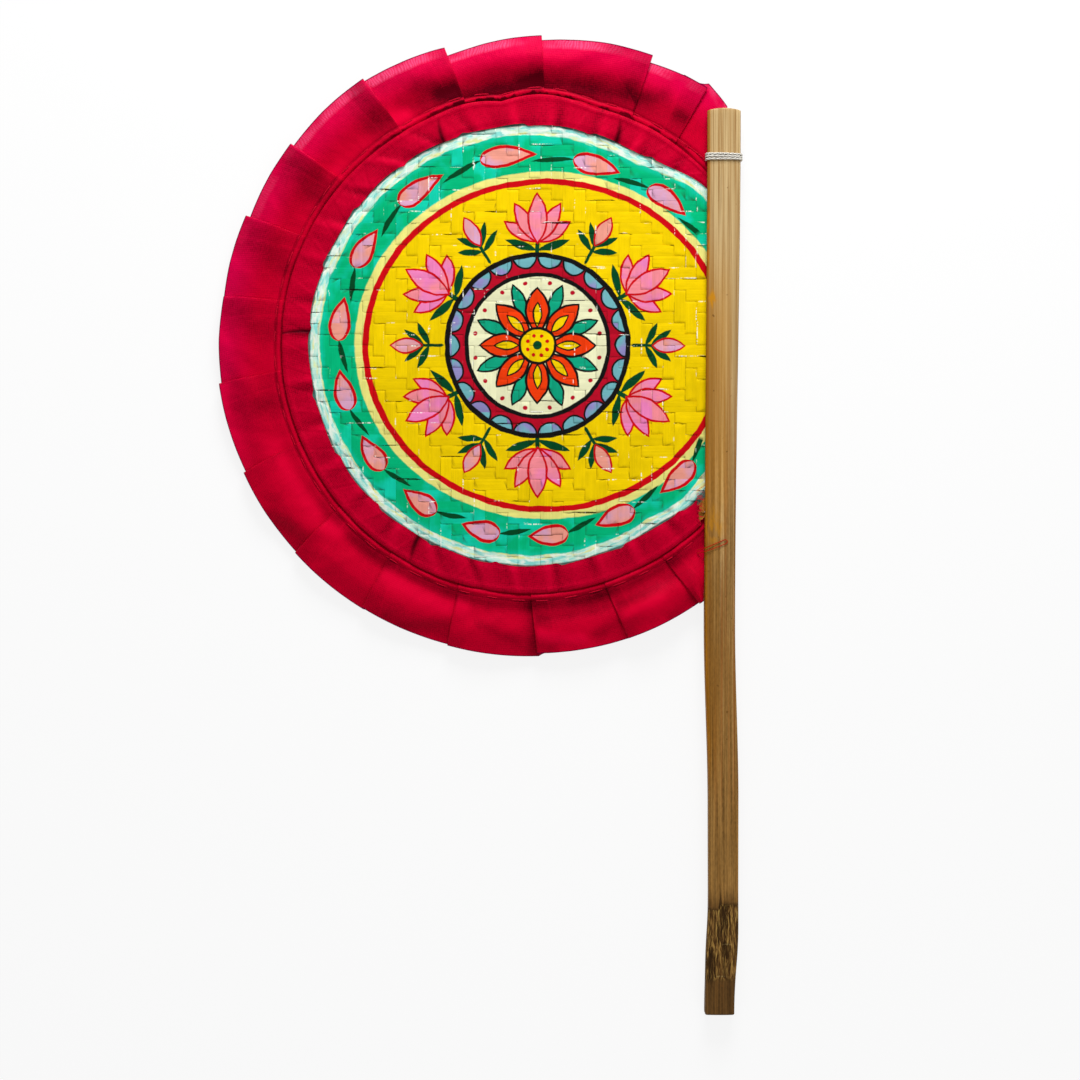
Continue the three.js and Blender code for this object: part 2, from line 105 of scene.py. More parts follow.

# Soft folds in the panels: number of the panel, where the fold's middle line starts and where it ends (along
# the panel and across the frill, both from 0 to 1), its half width, and its depth, negative on a ridge.
# Each fold's depth also paints its colour: painted shade where it sinks, and a painted highlight on a ridge.
SOFT_FOLDS = (
    (0, 0.05, 0.45, 0.2, 0.45, 0.12, 0.45), (0, 0.55, 0.62, 0.95, 0.45, 0.12, 0.5),
    (1, 0.0, 0.8, 0.15, 0.5, 0.14, 0.25), (1, 0.1, 0.34, 1.0, 0.27, 0.13, 0.12),
    (2, 0.0, 0.25, 0.2, 0.28, 0.14, 0.5), (2, 0.4, 0.22, 1.0, 0.22, 0.08, 0.25),
    (3, 0.05, 0.27, 0.25, 0.32, 0.15, 0.4), (3, 0.3, 0.5, 0.95, 0.85, 0.16, 0.3),
    (3, 0.85, 0.25, 1.0, 0.3, 0.15, -0.5),
    (4, 0.12, 1.0, 0.25, 0.3, 0.22, 0.4), (4, 0.95, 0.25, 1.0, 0.25, 0.12, -0.25),
    (5, 0.22, 0.75, 0.32, 0.3, 0.3, 0.65),
    (6, 0.28, 0.75, 0.42, 0.35, 0.26, 0.55), (6, 0.6, 0.97, 1.0, 0.95, 0.14, -0.3),
    (7, 0.2, 0.85, 0.42, 0.25, 0.24, 0.4), (7, 0.6, 0.97, 1.0, 0.95, 0.16, -0.35),
    (8, 0.3, 0.75, 0.38, 0.3, 0.22, 0.45), (8, 0.0, 1.0, 1.0, 0.97, 0.14, -0.4),
    (8, 0.9, 0.45, 1.0, 0.5, 0.15, -0.2),
    (9, 0.5, 0.95, 0.95, 0.85, 0.15, 0.3), (9, 0.1, 0.42, 0.85, 0.42, 0.1, -0.25),
    (10, 0.0, 0.4, 0.2, 0.35, 0.12, -0.3), (10, 0.45, 0.28, 1.0, 0.28, 0.12, 0.18),
    (11, 0.3, 1.0, 1.0, 0.8, 0.15, 0.4), (11, 0.1, 0.4, 0.9, 0.47, 0.12, -0.3),
    (12, 0.35, 0.6, 0.75, 0.78, 0.1, 0.4), (12, 0.95, 0.95, 1.0, 0.3, 0.12, 0.6),
    (12, 0.0, 0.35, 0.1, 0.4, 0.12, -0.3),
    (13, 0.0, 0.46, 0.9, 0.44, 0.09, 0.35), (13, 0.7, 0.82, 1.0, 0.72, 0.12, 0.4),
    (13, 0.55, 0.3, 1.0, 0.28, 0.13, 0.25), (13, 0.05, 0.72, 0.5, 0.85, 0.1, -0.4),
    (14, 0.0, 0.46, 0.95, 0.42, 0.09, 0.4), (14, 0.6, 1.0, 1.0, 0.9, 0.12, 0.4),
    (14, 0.1, 0.62, 0.6, 0.62, 0.1, -0.2),
)
# A panel's length as a multiple of the frill's width.
PANEL_ASPECT = 1.2
# How far each fold leans round the blade between the frill's header and its rim.
FOLD_LEAN = math.radians(1.4)
# Number of the pleat whose hidden part widens most towards the rim.
WIDE_PLEAT = 1
# Place past a fold, in depths of its pleat, from which a panel lies open.
OPEN_PANEL = 3.0

# Places of the first and last bud in the painted border, and how often each motif repeats.
FIRST_BUD = math.radians(46.8)
LAST_BUD = math.radians(318.3)
BUDS = 13
LOTUSES = 6
PETALS = 8
SCALLOPS = 22

# Tucks of the facings: degrees at the inner edge, degrees from there to the hem, share closed at the hem.
FRONT_TUCKS = ((67.5, 1.5, 1.0), (113.5, -1.2, 0.9), (177.0, 0.7, 0.25), (240.5, 1.2, 0.8))
BACK_TUCKS = ((95.0, 1.0, 0.5), (160.0, -2.0, 0.8), (221.0, 1.0, 0.3), (285.0, 2.0, 0.8))
# Seeds of the two facings' wandering lines.
FRONT_SEED, BACK_SEED = 3, 7

# Dark hollows in the stick's joint: place across and along the stick, and half width and half height.
JOINT_HOLLOWS = (
    (-4.3, 24.0, 2.4, 8.0), (2.0, 50.0, 2.4, 5.5), (3.2, 32.5, 1.8, 4.0), (-0.5, 41.0, 1.0, 7.0),
)
# Pale scratches across the joint: height, and where they start and end across the stick.
JOINT_SCRATCHES = ((35.3, 0.6, 6.0), (19.3, -1.9, 3.5))

# Directions that a thread's section is laid out from: along the stick, out of the painted face, and
# between the two for the loose bight.
STICK_UP = (0.0, 1.0, 0.0)
FACE_UP = (0.0, 0.0, 1.0)
LOOSE_UP = (0.5, -0.5, 0.7)


# Properties


def srgb(red, green, blue):
    """Linear colour of an sRGB colour whose channels run from 0 to 255."""
    value = np.array([red, green, blue]) / 255.0
    linear = np.where(value <= 0.04045, value / 12.92, ((value + 0.055) / 1.055) ** 2.4)
    return tuple(float(channel) for channel in linear)


def a_length(name, description, metres):
    """A length that a user may change."""
    return bpy.props.FloatProperty(
        name=name, description=description, default=metres, unit="LENGTH", precision=5
    )


def a_factor(name, description, default):
    """A plain number that a user may change."""
    return bpy.props.FloatProperty(name=name, description=description, default=default)


def an_angle(name, description, degrees):
    """An angle that a user may change."""
    return bpy.props.FloatProperty(
        name=name, description=description, default=math.radians(degrees), subtype="ANGLE"
    )


def a_colour(name, description, *channels):
    """A colour that a user may change, given in sRGB channels."""
    return bpy.props.FloatVectorProperty(
        name=name, description=description, default=srgb(*channels), subtype="COLOR", min=0, max=1
    )


class FanStick(bpy.types.PropertyGroup):
    """Sizes and colours of the slit bamboo stick."""

    length: a_length("Length", "Butt to tip", float(HANDLE_HIGH[1]))
    thickness: a_length("Thickness", "Back to front", float(HANDLE_HIGH[2] - HANDLE_LOW[2]))
    tip_width: a_length("Tip width", "Width at the tip", 16.6 * MM)
    neck_width: a_length("Neck width", "Width at the slit's foot", 15.2 * MM)
    butt_width: a_length("Butt width", "Width at the butt", 14.6 * MM)
    crown: a_length("Crown", "How far the front's middle stands over its edges", 0.5 * MM)
    arris: a_length("Arris", "Radius of the round along each edge", 1.0 * MM)
    joint: a_length("Joint height", "Height of the middle of the culm's joint above the butt", 34.0 * MM)
    joint_rise: a_length("Joint swelling", "How much wider the stick is at the joint", 0.9 * MM)
    foot: a_length("Slit foot", "Height at which the slit runs out", 193.9 * MM)
    run_out: a_length("Run-out", "Length over which the slit closes", 16.0 * MM)
    slit: a_length("Slit", "Width of the slit", 3.8 * MM)
    planed: a_colour("Planed bamboo", "Pale planed front near the tip", 190, 161, 113)
    honey: a_colour("Honey streak", "Warm streaks in the planed front", 150, 104, 44)
    handled: a_colour("Handled bamboo", "Browned bamboo of the grip", 144, 106, 54)
    streak: a_colour("Pale streak", "Pale streaks, mostly near the tip", 224, 198, 148)
    ruddy: a_colour("Ruddy streak", "Red-brown streaks above the grip", 146, 84, 34)
    golden: a_colour("Golden tint", "Golden tint of the middle of the stick", 202, 144, 54)
    fibre: a_colour("Dark fibres", "Brown fibres and specks in the planed front", 104, 68, 26)
    rind: a_colour("Rind edge", "Orange-brown rind along the edges", 152, 96, 14)
    scar: a_colour("Joint scar", "Dark brown of the joint and butt", 74, 48, 20)
    splinter: a_colour("Splinters", "Pale fibres of the joint", 168, 136, 70)
    scratch: a_colour("Scratches", "Pale scratches across the joint", 176, 150, 96)
    stain: a_colour("Paint stain", "Yellow paint rubbed onto the stick", 196, 130, 8)


class FanBlade(bpy.types.PropertyGroup):
    """Sizes and colours of the plaited and painted blade."""

    radius: a_length("Radius", "Radius of the trimmed plait", BLADE_RADIUS)
    tuck: a_length("Tucked edge", "Place of the straight edge inside the slit", float(BLADE_HIGH[0]))
    pitch: a_length("Pitch", "Distance from split to split", BLADE_RADIUS / len(WEFT_NODES))
    thickness: a_length("Split thickness", "Thickness of one split", 0.5 * MM)
    lift: a_length("Lift", "Rise and fall of a split over the blade's middle plane", 0.34 * MM)
    weft_share: a_factor("Weft width", "Greatest width of a weft as a share of the pitch", 1.0)
    warp_share: a_factor("Warp width", "Greatest width of a warp as a share of the pitch", 1.0)
    bare: a_colour("Bare split", "Unpainted bamboo of the back", 200, 168, 106)
    bare_grain: a_colour("Bare grain", "Darker grain of the unpainted bamboo", 150, 112, 58)
    # Sunk places are darkened, partly for the bare bamboo there and partly as painted shade.
    sunk: a_colour("Sunk places", "Dark places where a split dips under others", 40, 28, 10)
    fleck: a_colour("Flecks", "Pale flecks along the splits' edges", 255, 255, 244)
    field: a_colour("Field", "Yellow of the middle field", 246, 209, 2)
    mint: a_colour("Rim ring", "Pale ring next to the facing", 200, 241, 224)
    water: a_colour("Watery strokes", "Thin blue-green strokes in the rim ring", 112, 216, 208)
    chalk: a_colour("Chalky strokes", "Thick white strokes in the rim ring", 242, 250, 236)
    shadow: a_colour("Rim shadow", "Dark line at the rim ring's outer edge", 36, 26, 20)
    rind: a_colour("Unpainted rim", "Bamboo outside the rim ring", 190, 128, 48)
    green: a_colour("Border", "Green of the border", 2, 184, 122)
    cyan: a_colour("Border patches", "Blue-green patches in the border", 20, 206, 176)
    pale: a_colour("Inner ring", "Pale yellow ring inside the border", 238, 232, 130)
    red: a_colour("Line red", "Red of the inner line and the bud outlines", 206, 8, 20)
    ink: a_colour("Ink", "Black of the outlines", 18, 18, 18)
    leaf: a_colour("Leaf", "Dark green of leaves and stems", 4, 70, 36)
    bud: a_colour("Bud", "Salmon pink of the buds", 240, 158, 140)
    mauve: a_colour("Bud shade", "Mauve of the buds", 218, 164, 196)
    lavender: a_colour("Lavender", "Lavender scallops", 146, 140, 196)
    teal: a_colour("Teal", "Teal leaves of the rosette", 16, 166, 128)
    sea: a_colour("Sea blue", "Blue-green scallops", 112, 178, 186)
    crimson: a_colour("Crimson", "Crimson ground of the scallops", 186, 14, 40)
    cream: a_colour("Cream", "Cream ground of the rosette", 240, 240, 196)
    orange: a_colour("Orange", "Orange-red petals of the rosette", 242, 62, 12)
    lotus: a_colour("Lotus", "Pink of the lotus flowers", 248, 142, 152)
    blush: a_colour("Lotus shade", "Mauve-pink of the lotus flowers", 238, 130, 186)


class FanSatin(bpy.types.PropertyGroup):
    """Sizes and colours of the satin facings and the frill."""

    cloth: a_length("Cloth", "Thickness of the satin", 0.22 * MM)
    facing_inner: a_length("Facing inner radius", "Radius of the facing's raw inner edge", 110.3 * MM)
    facing_spread: a_length("Facing spread", "How far the inner edge moves out beside the slit", 8.0 * MM)
    hem: a_length("Hem radius", "Radius of the facing's rolled outer hem", 123.8 * MM)
    roll: a_length("Hem roll", "Radius of the rolled hem", 0.75 * MM)
    seat: a_length("Facing seat", "Height of the facing over the middle plane", 0.95 * MM)
    header: a_length("Frill inner radius", "Radius of the frill's header", 122.0 * MM)
    rim: a_length("Frill outer radius", "Radius of the frill's rim", 155.5 * MM)
    droop: a_length("Droop", "Fall of the frill's rim on the side away from the stick", 3.4 * MM)
    arch: a_length("Arch", "Rise of the frill between its seam and its rim", 3.4 * MM)
    pleat: an_angle("Pleat depth", "How far a pleat runs under the next one", 2.9)
    upper: a_length("Upper end", "Place across the stick of the end tucked in the slit", 4.3 * MM)
    lower: a_length("Lower end", "Place across the stick of the frill's lower end", -7.3 * MM)
    facing_end: a_length("Facing end", "Place across the stick of the facing's frayed end", -11.2 * MM)
    lit: a_colour("Lit satin", "Crimson of the satin's open panels", 194, 0, 38)
    # Painted shade: hollows, tucks, soft folds and the cloth's doubled places are mixed towards this deep
    # crimson, which also gives the satin's own mottling.
    deep: a_colour("Deep satin", "Crimson in the satin's hollows", 70, 0, 8)
    facing_red: a_colour("Facing satin", "Satin of the facing", 184, 0, 38)
    # Painted highlight: laid on the ridges of soft folds and on the facings' gathers.
    ridge: a_colour("Ridge satin", "Brighter crimson on the ridges of soft folds", 246, 4, 60)
    # Painted sheen: a pinker crimson laid towards the frill's rim.
    painted_sheen: a_colour("Bloom", "Pinker crimson towards the rim", 228, 2, 88)
    gloss: a_colour("Gloss", "Tint of the satin's shine", 255, 0, 90)
    selvedge: a_colour("Selvedge", "Sheer pink stripe along the rim", 246, 96, 146)
    edge: a_colour("Edge thread", "Dark thread along the very edge", 92, 8, 52)


class FanThread(bpy.types.PropertyGroup):
    """Sizes and colours of the lashing and the sewing thread."""

    lashing: a_length("Lashing thread", "Thickness of the cotton of the lashing", 1.1 * MM)
    lashing_pitch: a_length("Lashing pitch", "Distance from turn to turn", 1.2 * MM)
    turns: bpy.props.IntProperty(name="Turns", description="Turns of the lashing", default=3)
    tuck: a_length("Lashing tuck", "How far the lashing's ends are drawn into the slit", 4.0 * MM)
    stitch: a_length("Stitch thread", "Thickness of the seam's thread", 0.6 * MM)
    stitch_line: a_length("Stitch line", "Distance of the line of stitches from the hem", 3.6 * MM)
    stitch_length: a_length("Stitch length", "Length of one stitch", 6.6 * MM)
    loose: a_length("Loose bight", "Thickness of the loose thread end", 0.4 * MM)
    fray: a_length("Frayed end", "Thickness of a frayed yarn", 0.2 * MM)
    cotton: a_colour("Cotton", "White-grey cotton of the lashing", 230, 226, 216)
    # Painted shade: grey laid into the grooves of the lashing's lay.
    shaded_cotton: a_colour("Soiled cotton", "Grey in the cotton's grooves", 120, 114, 104)
    seam: a_colour("Seam thread", "Red thread of the stitches", 206, 10, 46)
    bleached: a_colour("Loose thread", "Orange-red of the loose thread", 182, 26, 12)


class FanStage(bpy.types.PropertyGroup):
    """Camera, floor and lights."""

    lens: a_factor("Lens", "Focal length of the camera in millimetres", 85.0)
    sensor: a_factor("Sensor", "Width of the camera's sensor in millimetres", 36.0)
    view_width: a_length("View width", "Width of the view at the blade", 540.0 * MM)
    view_x: a_length("View centre X", "Place across the stick of the view's middle", -89.6 * MM)
    view_y: a_length("View centre Y", "Place along the stick of the view's middle", 236.75 * MM)
    floor_size: a_length("Floor size", "Width of the floor", 6.0)
    floor: a_colour("Floor", "Plain pale floor", 244, 244, 244)
    floor_glow: a_factor("Floor glow", "Share of plain white that the camera sees in the floor", 0.85)
    sky: a_factor("Sky", "Strength of the even light from all round", 0.3)
    key: a_factor("Key", "Power of the soft light over the stick's tip", 11.5)
    fill: a_factor("Fill", "Power of the soft light over the stick's butt", 3.5)


# Shapes as whole arrays


def smooth(x, low, high):
    """0 up to low, 1 from high on, and an even S between them."""
    t = np.clip((x - low) / (high - low), 0.0, 1.0)
    return t * t * (3.0 - 2.0 * t)


def bell(x, middle, width):
    """A bell of height 1 round a middle."""
    return np.exp(-(((x - middle) / width) ** 2))


def ripple(x, seed, waves=5):
    """A wandering value from about -1 to 1: sines of rising pitch whose phases follow from a seed."""
    order = np.arange(1, waves + 1)
    phase = TURN * np.modf(0.618 * order * (seed + 1.3))[0]
    pitch = 1.0 + 0.73 * (order - 1)
    return (np.sin(np.multiply.outer(np.asarray(x), pitch) + phase) / order).sum(-1) / 1.6


def scatter(index, seed):
    """A fixed value from 0 to 1 for each whole number: the fraction of a large sine."""
    return np.abs(np.modf(np.sin(np.asarray(index) * 12.9898 + seed * 78.233) * 43758.5453)[0])


def loft(rings):
    """Closed skin over rings of points, an array of stations by points by 3, with quads between
    neighbours. Each end ring is closed by a ladder of quads between its two halves. A ring turns
    right-handed about the way from station to station."""
    stations, count = rings.shape[:2]
    index = np.arange(stations * count).reshape(stations, count)
    onward = np.roll(index, -1, axis=1)
    sides = np.stack([index[:-1], onward[:-1], onward[1:], index[1:]], axis=-1).reshape(-1, 4)
    rung = np.arange(count // 2 - 1)
    ladder = np.stack([rung, count - 1 - rung, count - 2 - rung, rung + 1], axis=-1)
    faces = np.concatenate([sides, index[0][ladder], index[-1][ladder[:, ::-1]]])
    return rings.reshape(-1, 3), faces


def wrapped(under, over):
    """Ring of a flat section: its under side one way and its upper side back."""
    return np.concatenate([under, over[:, ::-1]], axis=1)


def ribbon(sheet, thickness):
    """Closed skin of a thin sheet, an array of stations by points by 3: the sheet moved half its
    thickness to either side along its normals, one side out and the other back."""
    normal = np.cross(np.gradient(sheet, axis=0), np.gradient(sheet, axis=1))
    normal /= np.maximum(np.linalg.norm(normal, axis=-1, keepdims=True), 1e-12)
    offset = 0.5 * thickness * normal
    return loft(wrapped(sheet - offset, sheet + offset))


def both_sides(values):
    """Values on a sheet's grid, in the order of its ribbon's points."""
    return wrapped(values, values).ravel()


def run_along(points):
    """Distance of each point from the first one, along a line of points."""
    return np.concatenate([[0], np.cumsum(np.linalg.norm(np.diff(points, axis=0), axis=1))])


def tube(path, radius, sides, up, plies=0, lay=0.0):
    """Closed round skin along a path of points that never runs along up, and its grooves from 0 to 1.
    With plies, the radius swells and shrinks round the section like laid thread."""
    ahead = np.gradient(path, axis=0)
    ahead /= np.linalg.norm(ahead, axis=1, keepdims=True)
    aside = np.cross(up, ahead)
    aside /= np.linalg.norm(aside, axis=1, keepdims=True)
    over = np.cross(ahead, aside)
    turn = TURN * np.arange(sides) / sides
    swell = np.cos(plies * turn[None] - lay * run_along(path)[:, None]) * (plies > 0)
    spoke = np.cos(turn)[None, :, None] * aside[:, None] + np.sin(turn)[None, :, None] * over[:, None]
    depth = 0.12 * (plies > 0)
    skin = loft(path[:, None] + (radius * (1 - depth + depth * swell))[..., None] * spoke)
    return skin, (0.5 - 0.5 * swell).ravel()


def even_path(points, count):
    """Points evenly spaced along a line of points."""
    run = run_along(points)
    places = np.linspace(0, run[-1], count)
    return np.stack([np.interp(places, run, points[:, axis]) for axis in range(3)], axis=1)


def curve_through(points, steps):
    """Points on a smooth curve through a list of points: a uniform Catmull-Rom curve."""
    points = np.asarray(points, float)
    padded = np.concatenate([[2 * points[0] - points[1]], points, [2 * points[-1] - points[-2]]])
    t = np.linspace(0, len(points) - 1, steps * (len(points) - 1) + 1)
    k = np.minimum(t.astype(int), len(points) - 2)
    f = (t - k)[:, None]
    a, b, c, d = (padded[k + shift] for shift in range(4))
    cubic = (3 * b - a - 3 * c + d) * f**3
    return 0.5 * (2 * b + (c - a) * f + (2 * a - 5 * b + 4 * c - d) * f**2 + cubic)


def joined(skins):
    """Several skins as one, with the later ones' faces counted on."""
    starts = np.cumsum([0] + [len(points) for points, _ in skins[:-1]])
    points = np.concatenate([points for points, _ in skins])
    return points, np.concatenate([faces + start for (_, faces), start in zip(skins, starts)])


def welded(skin, values):
    """A skin whose faces lying in the middle plane are gone and whose meeting points are one."""
    points, faces = skin
    faces = faces[~(np.abs(points[faces, 2]) < 1e-9).all(1)]
    _, first, same = np.unique(np.round(points, 8), axis=0, return_index=True, return_inverse=True)
    used, faces = np.unique(same.ravel()[faces], return_inverse=True)
    kept = first[used]
    return (points[kept], faces.reshape(-1, 4)), {key: value[kept] for key, value in values.items()}


def make_piece(name, skin, material, replaces=(), values=None, crease=40.0):
    """A mesh object of a skin, with its point values and its material in a slot; the nodes that it stands
    for are hidden.
    Edges sharper than the crease, in degrees, are shaded as edges."""
    points, faces = skin
    mesh = bpy.data.meshes.new(name)
    mesh.vertices.add(len(points))
    mesh.vertices.foreach_set("co", np.ascontiguousarray(points, np.float32).ravel())
    mesh.loops.add(faces.size)
    mesh.loops.foreach_set("vertex_index", np.ascontiguousarray(faces, np.int32).ravel())
    mesh.polygons.add(len(faces))
    mesh.polygons.foreach_set("loop_start", np.arange(0, faces.size, 4, dtype=np.int32))
    mesh.update(calc_edges=True)
    mesh.polygons.foreach_set("use_smooth", np.ones(len(faces), bool))
    mesh.set_sharp_from_angle(angle=math.radians(crease))
    for key, value in (values or {}).items():
        layer = mesh.attributes.new(key, "FLOAT", "POINT")
        layer.data.foreach_set("value", np.ascontiguousarray(value, np.float32).ravel())
    mesh.materials.append(material)
    piece = bpy.data.objects.new(name, mesh)
    bpy.context.scene.collection.objects.link(piece)
    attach(piece, "root")
    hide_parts(*replaces)
    return piece


# Stick


def stick_sway(stick, y):
    """Sideways wander of the stick: eased from the butt to the grip, the slit's foot and the tip."""
    grip, foot, tip = 1.9 * MM, 0.1 * MM, 2.2 * MM
    lower = grip * smooth(y, 0, 54 * MM)
    middle = (foot - grip) * smooth(y, 106 * MM, stick.foot)
    return lower + middle + (tip - foot) * smooth(y, stick.foot, stick.length)


def stick_half_width(stick, y):
    """Half the stick's width: eased from butt to neck to tip, with a swelling at the joint."""
    lower = stick.butt_width + (stick.neck_width - stick.butt_width) * smooth(y, 0, stick.foot)
    plain = lower + (stick.tip_width - stick.neck_width) * smooth(y, stick.foot, stick.length)
    return (plain + stick.joint_rise * bell(y, stick.joint, 14 * MM)) / 2


def stick_height(stick, y, t, side):
    """Height of the stick's face at a share t of its half width: flat behind, low-crowned in front,
    with a quarter round along both edges."""
    crown = stick.crown if side > 0 else 0.0
    inside = np.minimum(stick_half_width(stick, y) * (1 - np.abs(t)), stick.arris)
    drop = stick.arris - np.sqrt(stick.arris**2 - (stick.arris - inside) ** 2)
    return stick.thickness / 2 - crown * t**2 - drop


def stick_half(stick, side):
    """Front half (side 1) or back half (side -1) of the stick, and its values. Its outer face follows
    the stick's height; its inner face opens from the middle plane to the slit's wall; the joint leaves
    a sunk, fibrous patch in front; both ends are eased, and the tip is cut slightly round."""
    ease = 0.7 * MM
    ends = ease * np.array([0.0, 0.08, 0.3, 0.6, 1.0])
    patch_end = 2 * stick.joint
    body = np.concatenate([
        np.linspace(ease, patch_end, 110)[1:],
        np.linspace(patch_end, stick.length - ease, 190)[1:-1],
    ])
    y = np.concatenate([ends, body, stick.length - ends[::-1]])[:, None]
    past_end = np.clip(1 - np.minimum(y, stick.length - y) / ease, 0, 1)
    inset = ease * (1 - np.sqrt(1 - past_end**2))
    t = np.sin(0.5 * math.pi * np.linspace(-1, 1, 36))[None]
    half = stick_half_width(stick, y) - inset
    wall = 0.5 * stick.slit * smooth(y, stick.foot, stick.foot + stick.run_out)
    height = np.maximum(stick_height(stick, y, t, side) - inset, wall + 0.2 * MM)
    if side > 0:
        fibres = ripple(9 * t + 0.03 * y / MM, 3) * ripple(y / (3.1 * MM) + 3 * t, 5)
        top = 52.5 * MM + 2.5 * MM * smooth(t, -0.3, -0.1)
        patch = smooth(y, 17 * MM, 20 * MM) * smooth(y, top + 1 * MM, top - 1 * MM) * (1 - t**4)
        height = height + patch * (0.4 * MM * fibres - 0.4 * MM)
    x = stick_sway(stick, y) + half * t
    cut = y - 1.0 * MM * t**2 * smooth(y, stick.length - 9 * MM, stick.length)
    outer = np.stack(np.broadcast_arrays(x, cut, side * height), axis=-1)[:, ::-1]
    inner = np.stack(np.broadcast_arrays(x, cut, side * wall), axis=-1)[:, ::-1]
    under, over = (inner, outer) if side > 0 else (outer, inner)
    across = (t + 0 * y)[:, ::-1]
    return loft(wrapped(under, over)), {"cross": wrapped(across, across).ravel()}


def lashing_path(stick, thread):
    """Middle line of the lashing: out of the slit at the right edge, turns over the front and round the
    back, each a thread's half thickness off the stick's outline, and back into the slit."""
    radius = thread.lashing / 2
    y = float(LASHING_LOW[1] + LASHING_HIGH[1]) / 2
    half = float(stick_half_width(stick, y))
    t = np.cos(np.linspace(0, math.pi, 60))
    front = np.stack([half * t, stick_height(stick, y, t, 1)], axis=1)
    back = np.stack([half * t, -stick_height(stick, y, t, -1)], axis=1)[::-1]
    outline = np.concatenate([[[half, 0.0]], front, back])
    along = np.roll(outline, -1, axis=0) - np.roll(outline, 1, axis=0)
    along /= np.linalg.norm(along, axis=1, keepdims=True)
    outward = np.stack([along[:, 1], -along[:, 0]], axis=1)
    around = np.tile(outline + 0.96 * radius * outward, (thread.turns, 1))
    around = np.concatenate([around, around[:1]])
    turned = np.linspace(0, thread.turns, len(around))
    rise = thread.lashing_pitch * (turned - thread.turns / 2)
    slack = 0.3 * MM * np.sin(TURN * turned * 0.94 + 0.6) + 0.12 * MM * ripple(9 * turned, 4)
    x = float(stick_sway(stick, y)) + around[:, 0]
    turns = np.stack([x, y + rise + slack, around[:, 1]], axis=1)
    drawn = [-thread.tuck, 0.0, 0.0]
    line = np.concatenate([[turns[0] + drawn], turns, [turns[-1] + drawn]])
    return even_path(line, 170 * thread.turns)


# Blade


def weft_level(weft, warp):
    """1 where a weft passes over a warp and -1 where it passes under: three over, three under, and
    one split further on with each row."""
    return np.where((weft + warp) % 6 < 3, 1.0, -1.0)


def split_skin(blade, place, upright):
    """One split of the plait, and its values. It is a flat ribbon along X with eased edges, a little
    narrower here and there, whose height steps between the two faces in the gaps between the splits
    that it crosses. Its ends follow the round rim and the tucked edge. An upright one is turned by a
    quarter, which carries its Y to -X."""
    t = np.array([[-1.0, -0.82, 0.82, 1.0]])
    tucked = blade.tuck - BLADE_X
    middle = (place + 0.5) * blade.pitch * (-1 if upright else 1)
    share = blade.warp_share if upright else blade.weft_share
    edge = middle + 0.5 * share * blade.pitch * t
    edge = np.maximum(edge, -tucked) if upright else edge
    near = np.sqrt(np.maximum(blade.radius**2 - edge**2, 1e-9))
    far = near if upright else np.minimum(near, tucked)
    steps = int((near.max() + far.max()) / (0.82 * MM)) + 4
    along = -near + (far + near) * np.linspace(0, 1, steps)[:, None]
    narrow = 0.5 * blade.pitch * (0.05 if upright else 0.16)
    wander = ripple(along / (11 * MM) + 2.7 * place + 5 * np.sign(t), 2 + upright)
    across = edge - narrow * np.sign(t) * smooth(wander, 0.42, 0.9)
    crossing = along / blade.pitch - 0.5
    before = np.floor(crossing)
    if upright:
        levels = [-weft_level(before + step, place) for step in (0, 1)]
    else:
        levels = [weft_level(place, before + step) for step in (0, 1)]
    level = levels[0] + (levels[1] - levels[0]) * smooth(crossing - before, 0.36, 0.64)
    float_number = np.floor((along / blade.pitch + place) / 3) + 31 * place
    rim = 0.5 * blade.thickness * (1 - 0.2 * (np.abs(t) > 0.9)) + 0 * along
    low = np.stack([along, across, blade.lift * level - rim], axis=-1)
    top = np.stack([along, across, blade.lift * level + rim], axis=-1)
    points, faces = loft(wrapped(low, top))
    if upright:
        points = points[:, [1, 0, 2]] * [-1, 1, 1]
    raised = smooth(level, -0.7, 0.7)
    bands = {
        "run": wrapped(along, along),
        "cross": wrapped(t + 0 * along, t + 0 * along),
        "painted": wrapped(0 * along, 1 + 0 * along),
        "sunk": wrapped(raised, 1 - raised),
        "tint": np.full((steps, 8), scatter(place, 9 + upright)),
        "facet": np.tile(scatter(float_number[:, 1:2], 4 + upright), (1, 8)),
    }
    values = {key: band.ravel() for key, band in bands.items()}
    return (points + [BLADE_X, BLADE_Y, 0.0], faces), values


def plait(blade, upright):
    """All wefts, or all warps, as one skin with its values."""
    least = 0.3 * blade.pitch
    end = blade.tuck - BLADE_X if upright else blade.radius
    first = round(-blade.radius / blade.pitch)
    last = math.floor((end - least) / blade.pitch)
    made = [split_skin(blade, place, upright) for place in range(first, last + 1)]
    values = {key: np.concatenate([bands[key] for _, bands in made]) for key in made[0][1]}
    return joined([skin for skin, _ in made]), values


# Satin


def polar(radius, turn, z):
    """Points at a radius and angle round the blade's centre."""
    x = BLADE_X + radius * np.cos(turn)
    y = BLADE_Y + radius * np.sin(turn)
    return np.stack(np.broadcast_arrays(x, y, z), axis=-1)


def frill_gap(v):
    """Distance from layer to layer in a pleat, wider towards the rim."""
    return 0.4 * MM + 0.8 * MM * v**1.5


def hem_wave(turn, seed):
    """How far a facing's hem swings off its circle: a little all round, and more at the top, where it is
    loose."""
    loose = 0.35 * MM + 3.2 * MM * bell(turn, 1.55, 0.42)
    return loose * (np.abs(ripple(turn * 6.5, seed + 5, 2)) - 0.35)


def past_hem(satin, turn, v):
    """Distance of a place on the frill from the front facing's hem."""
    return satin.header + (satin.rim - satin.header) * v - satin.hem - hem_wave(turn, FRONT_SEED)


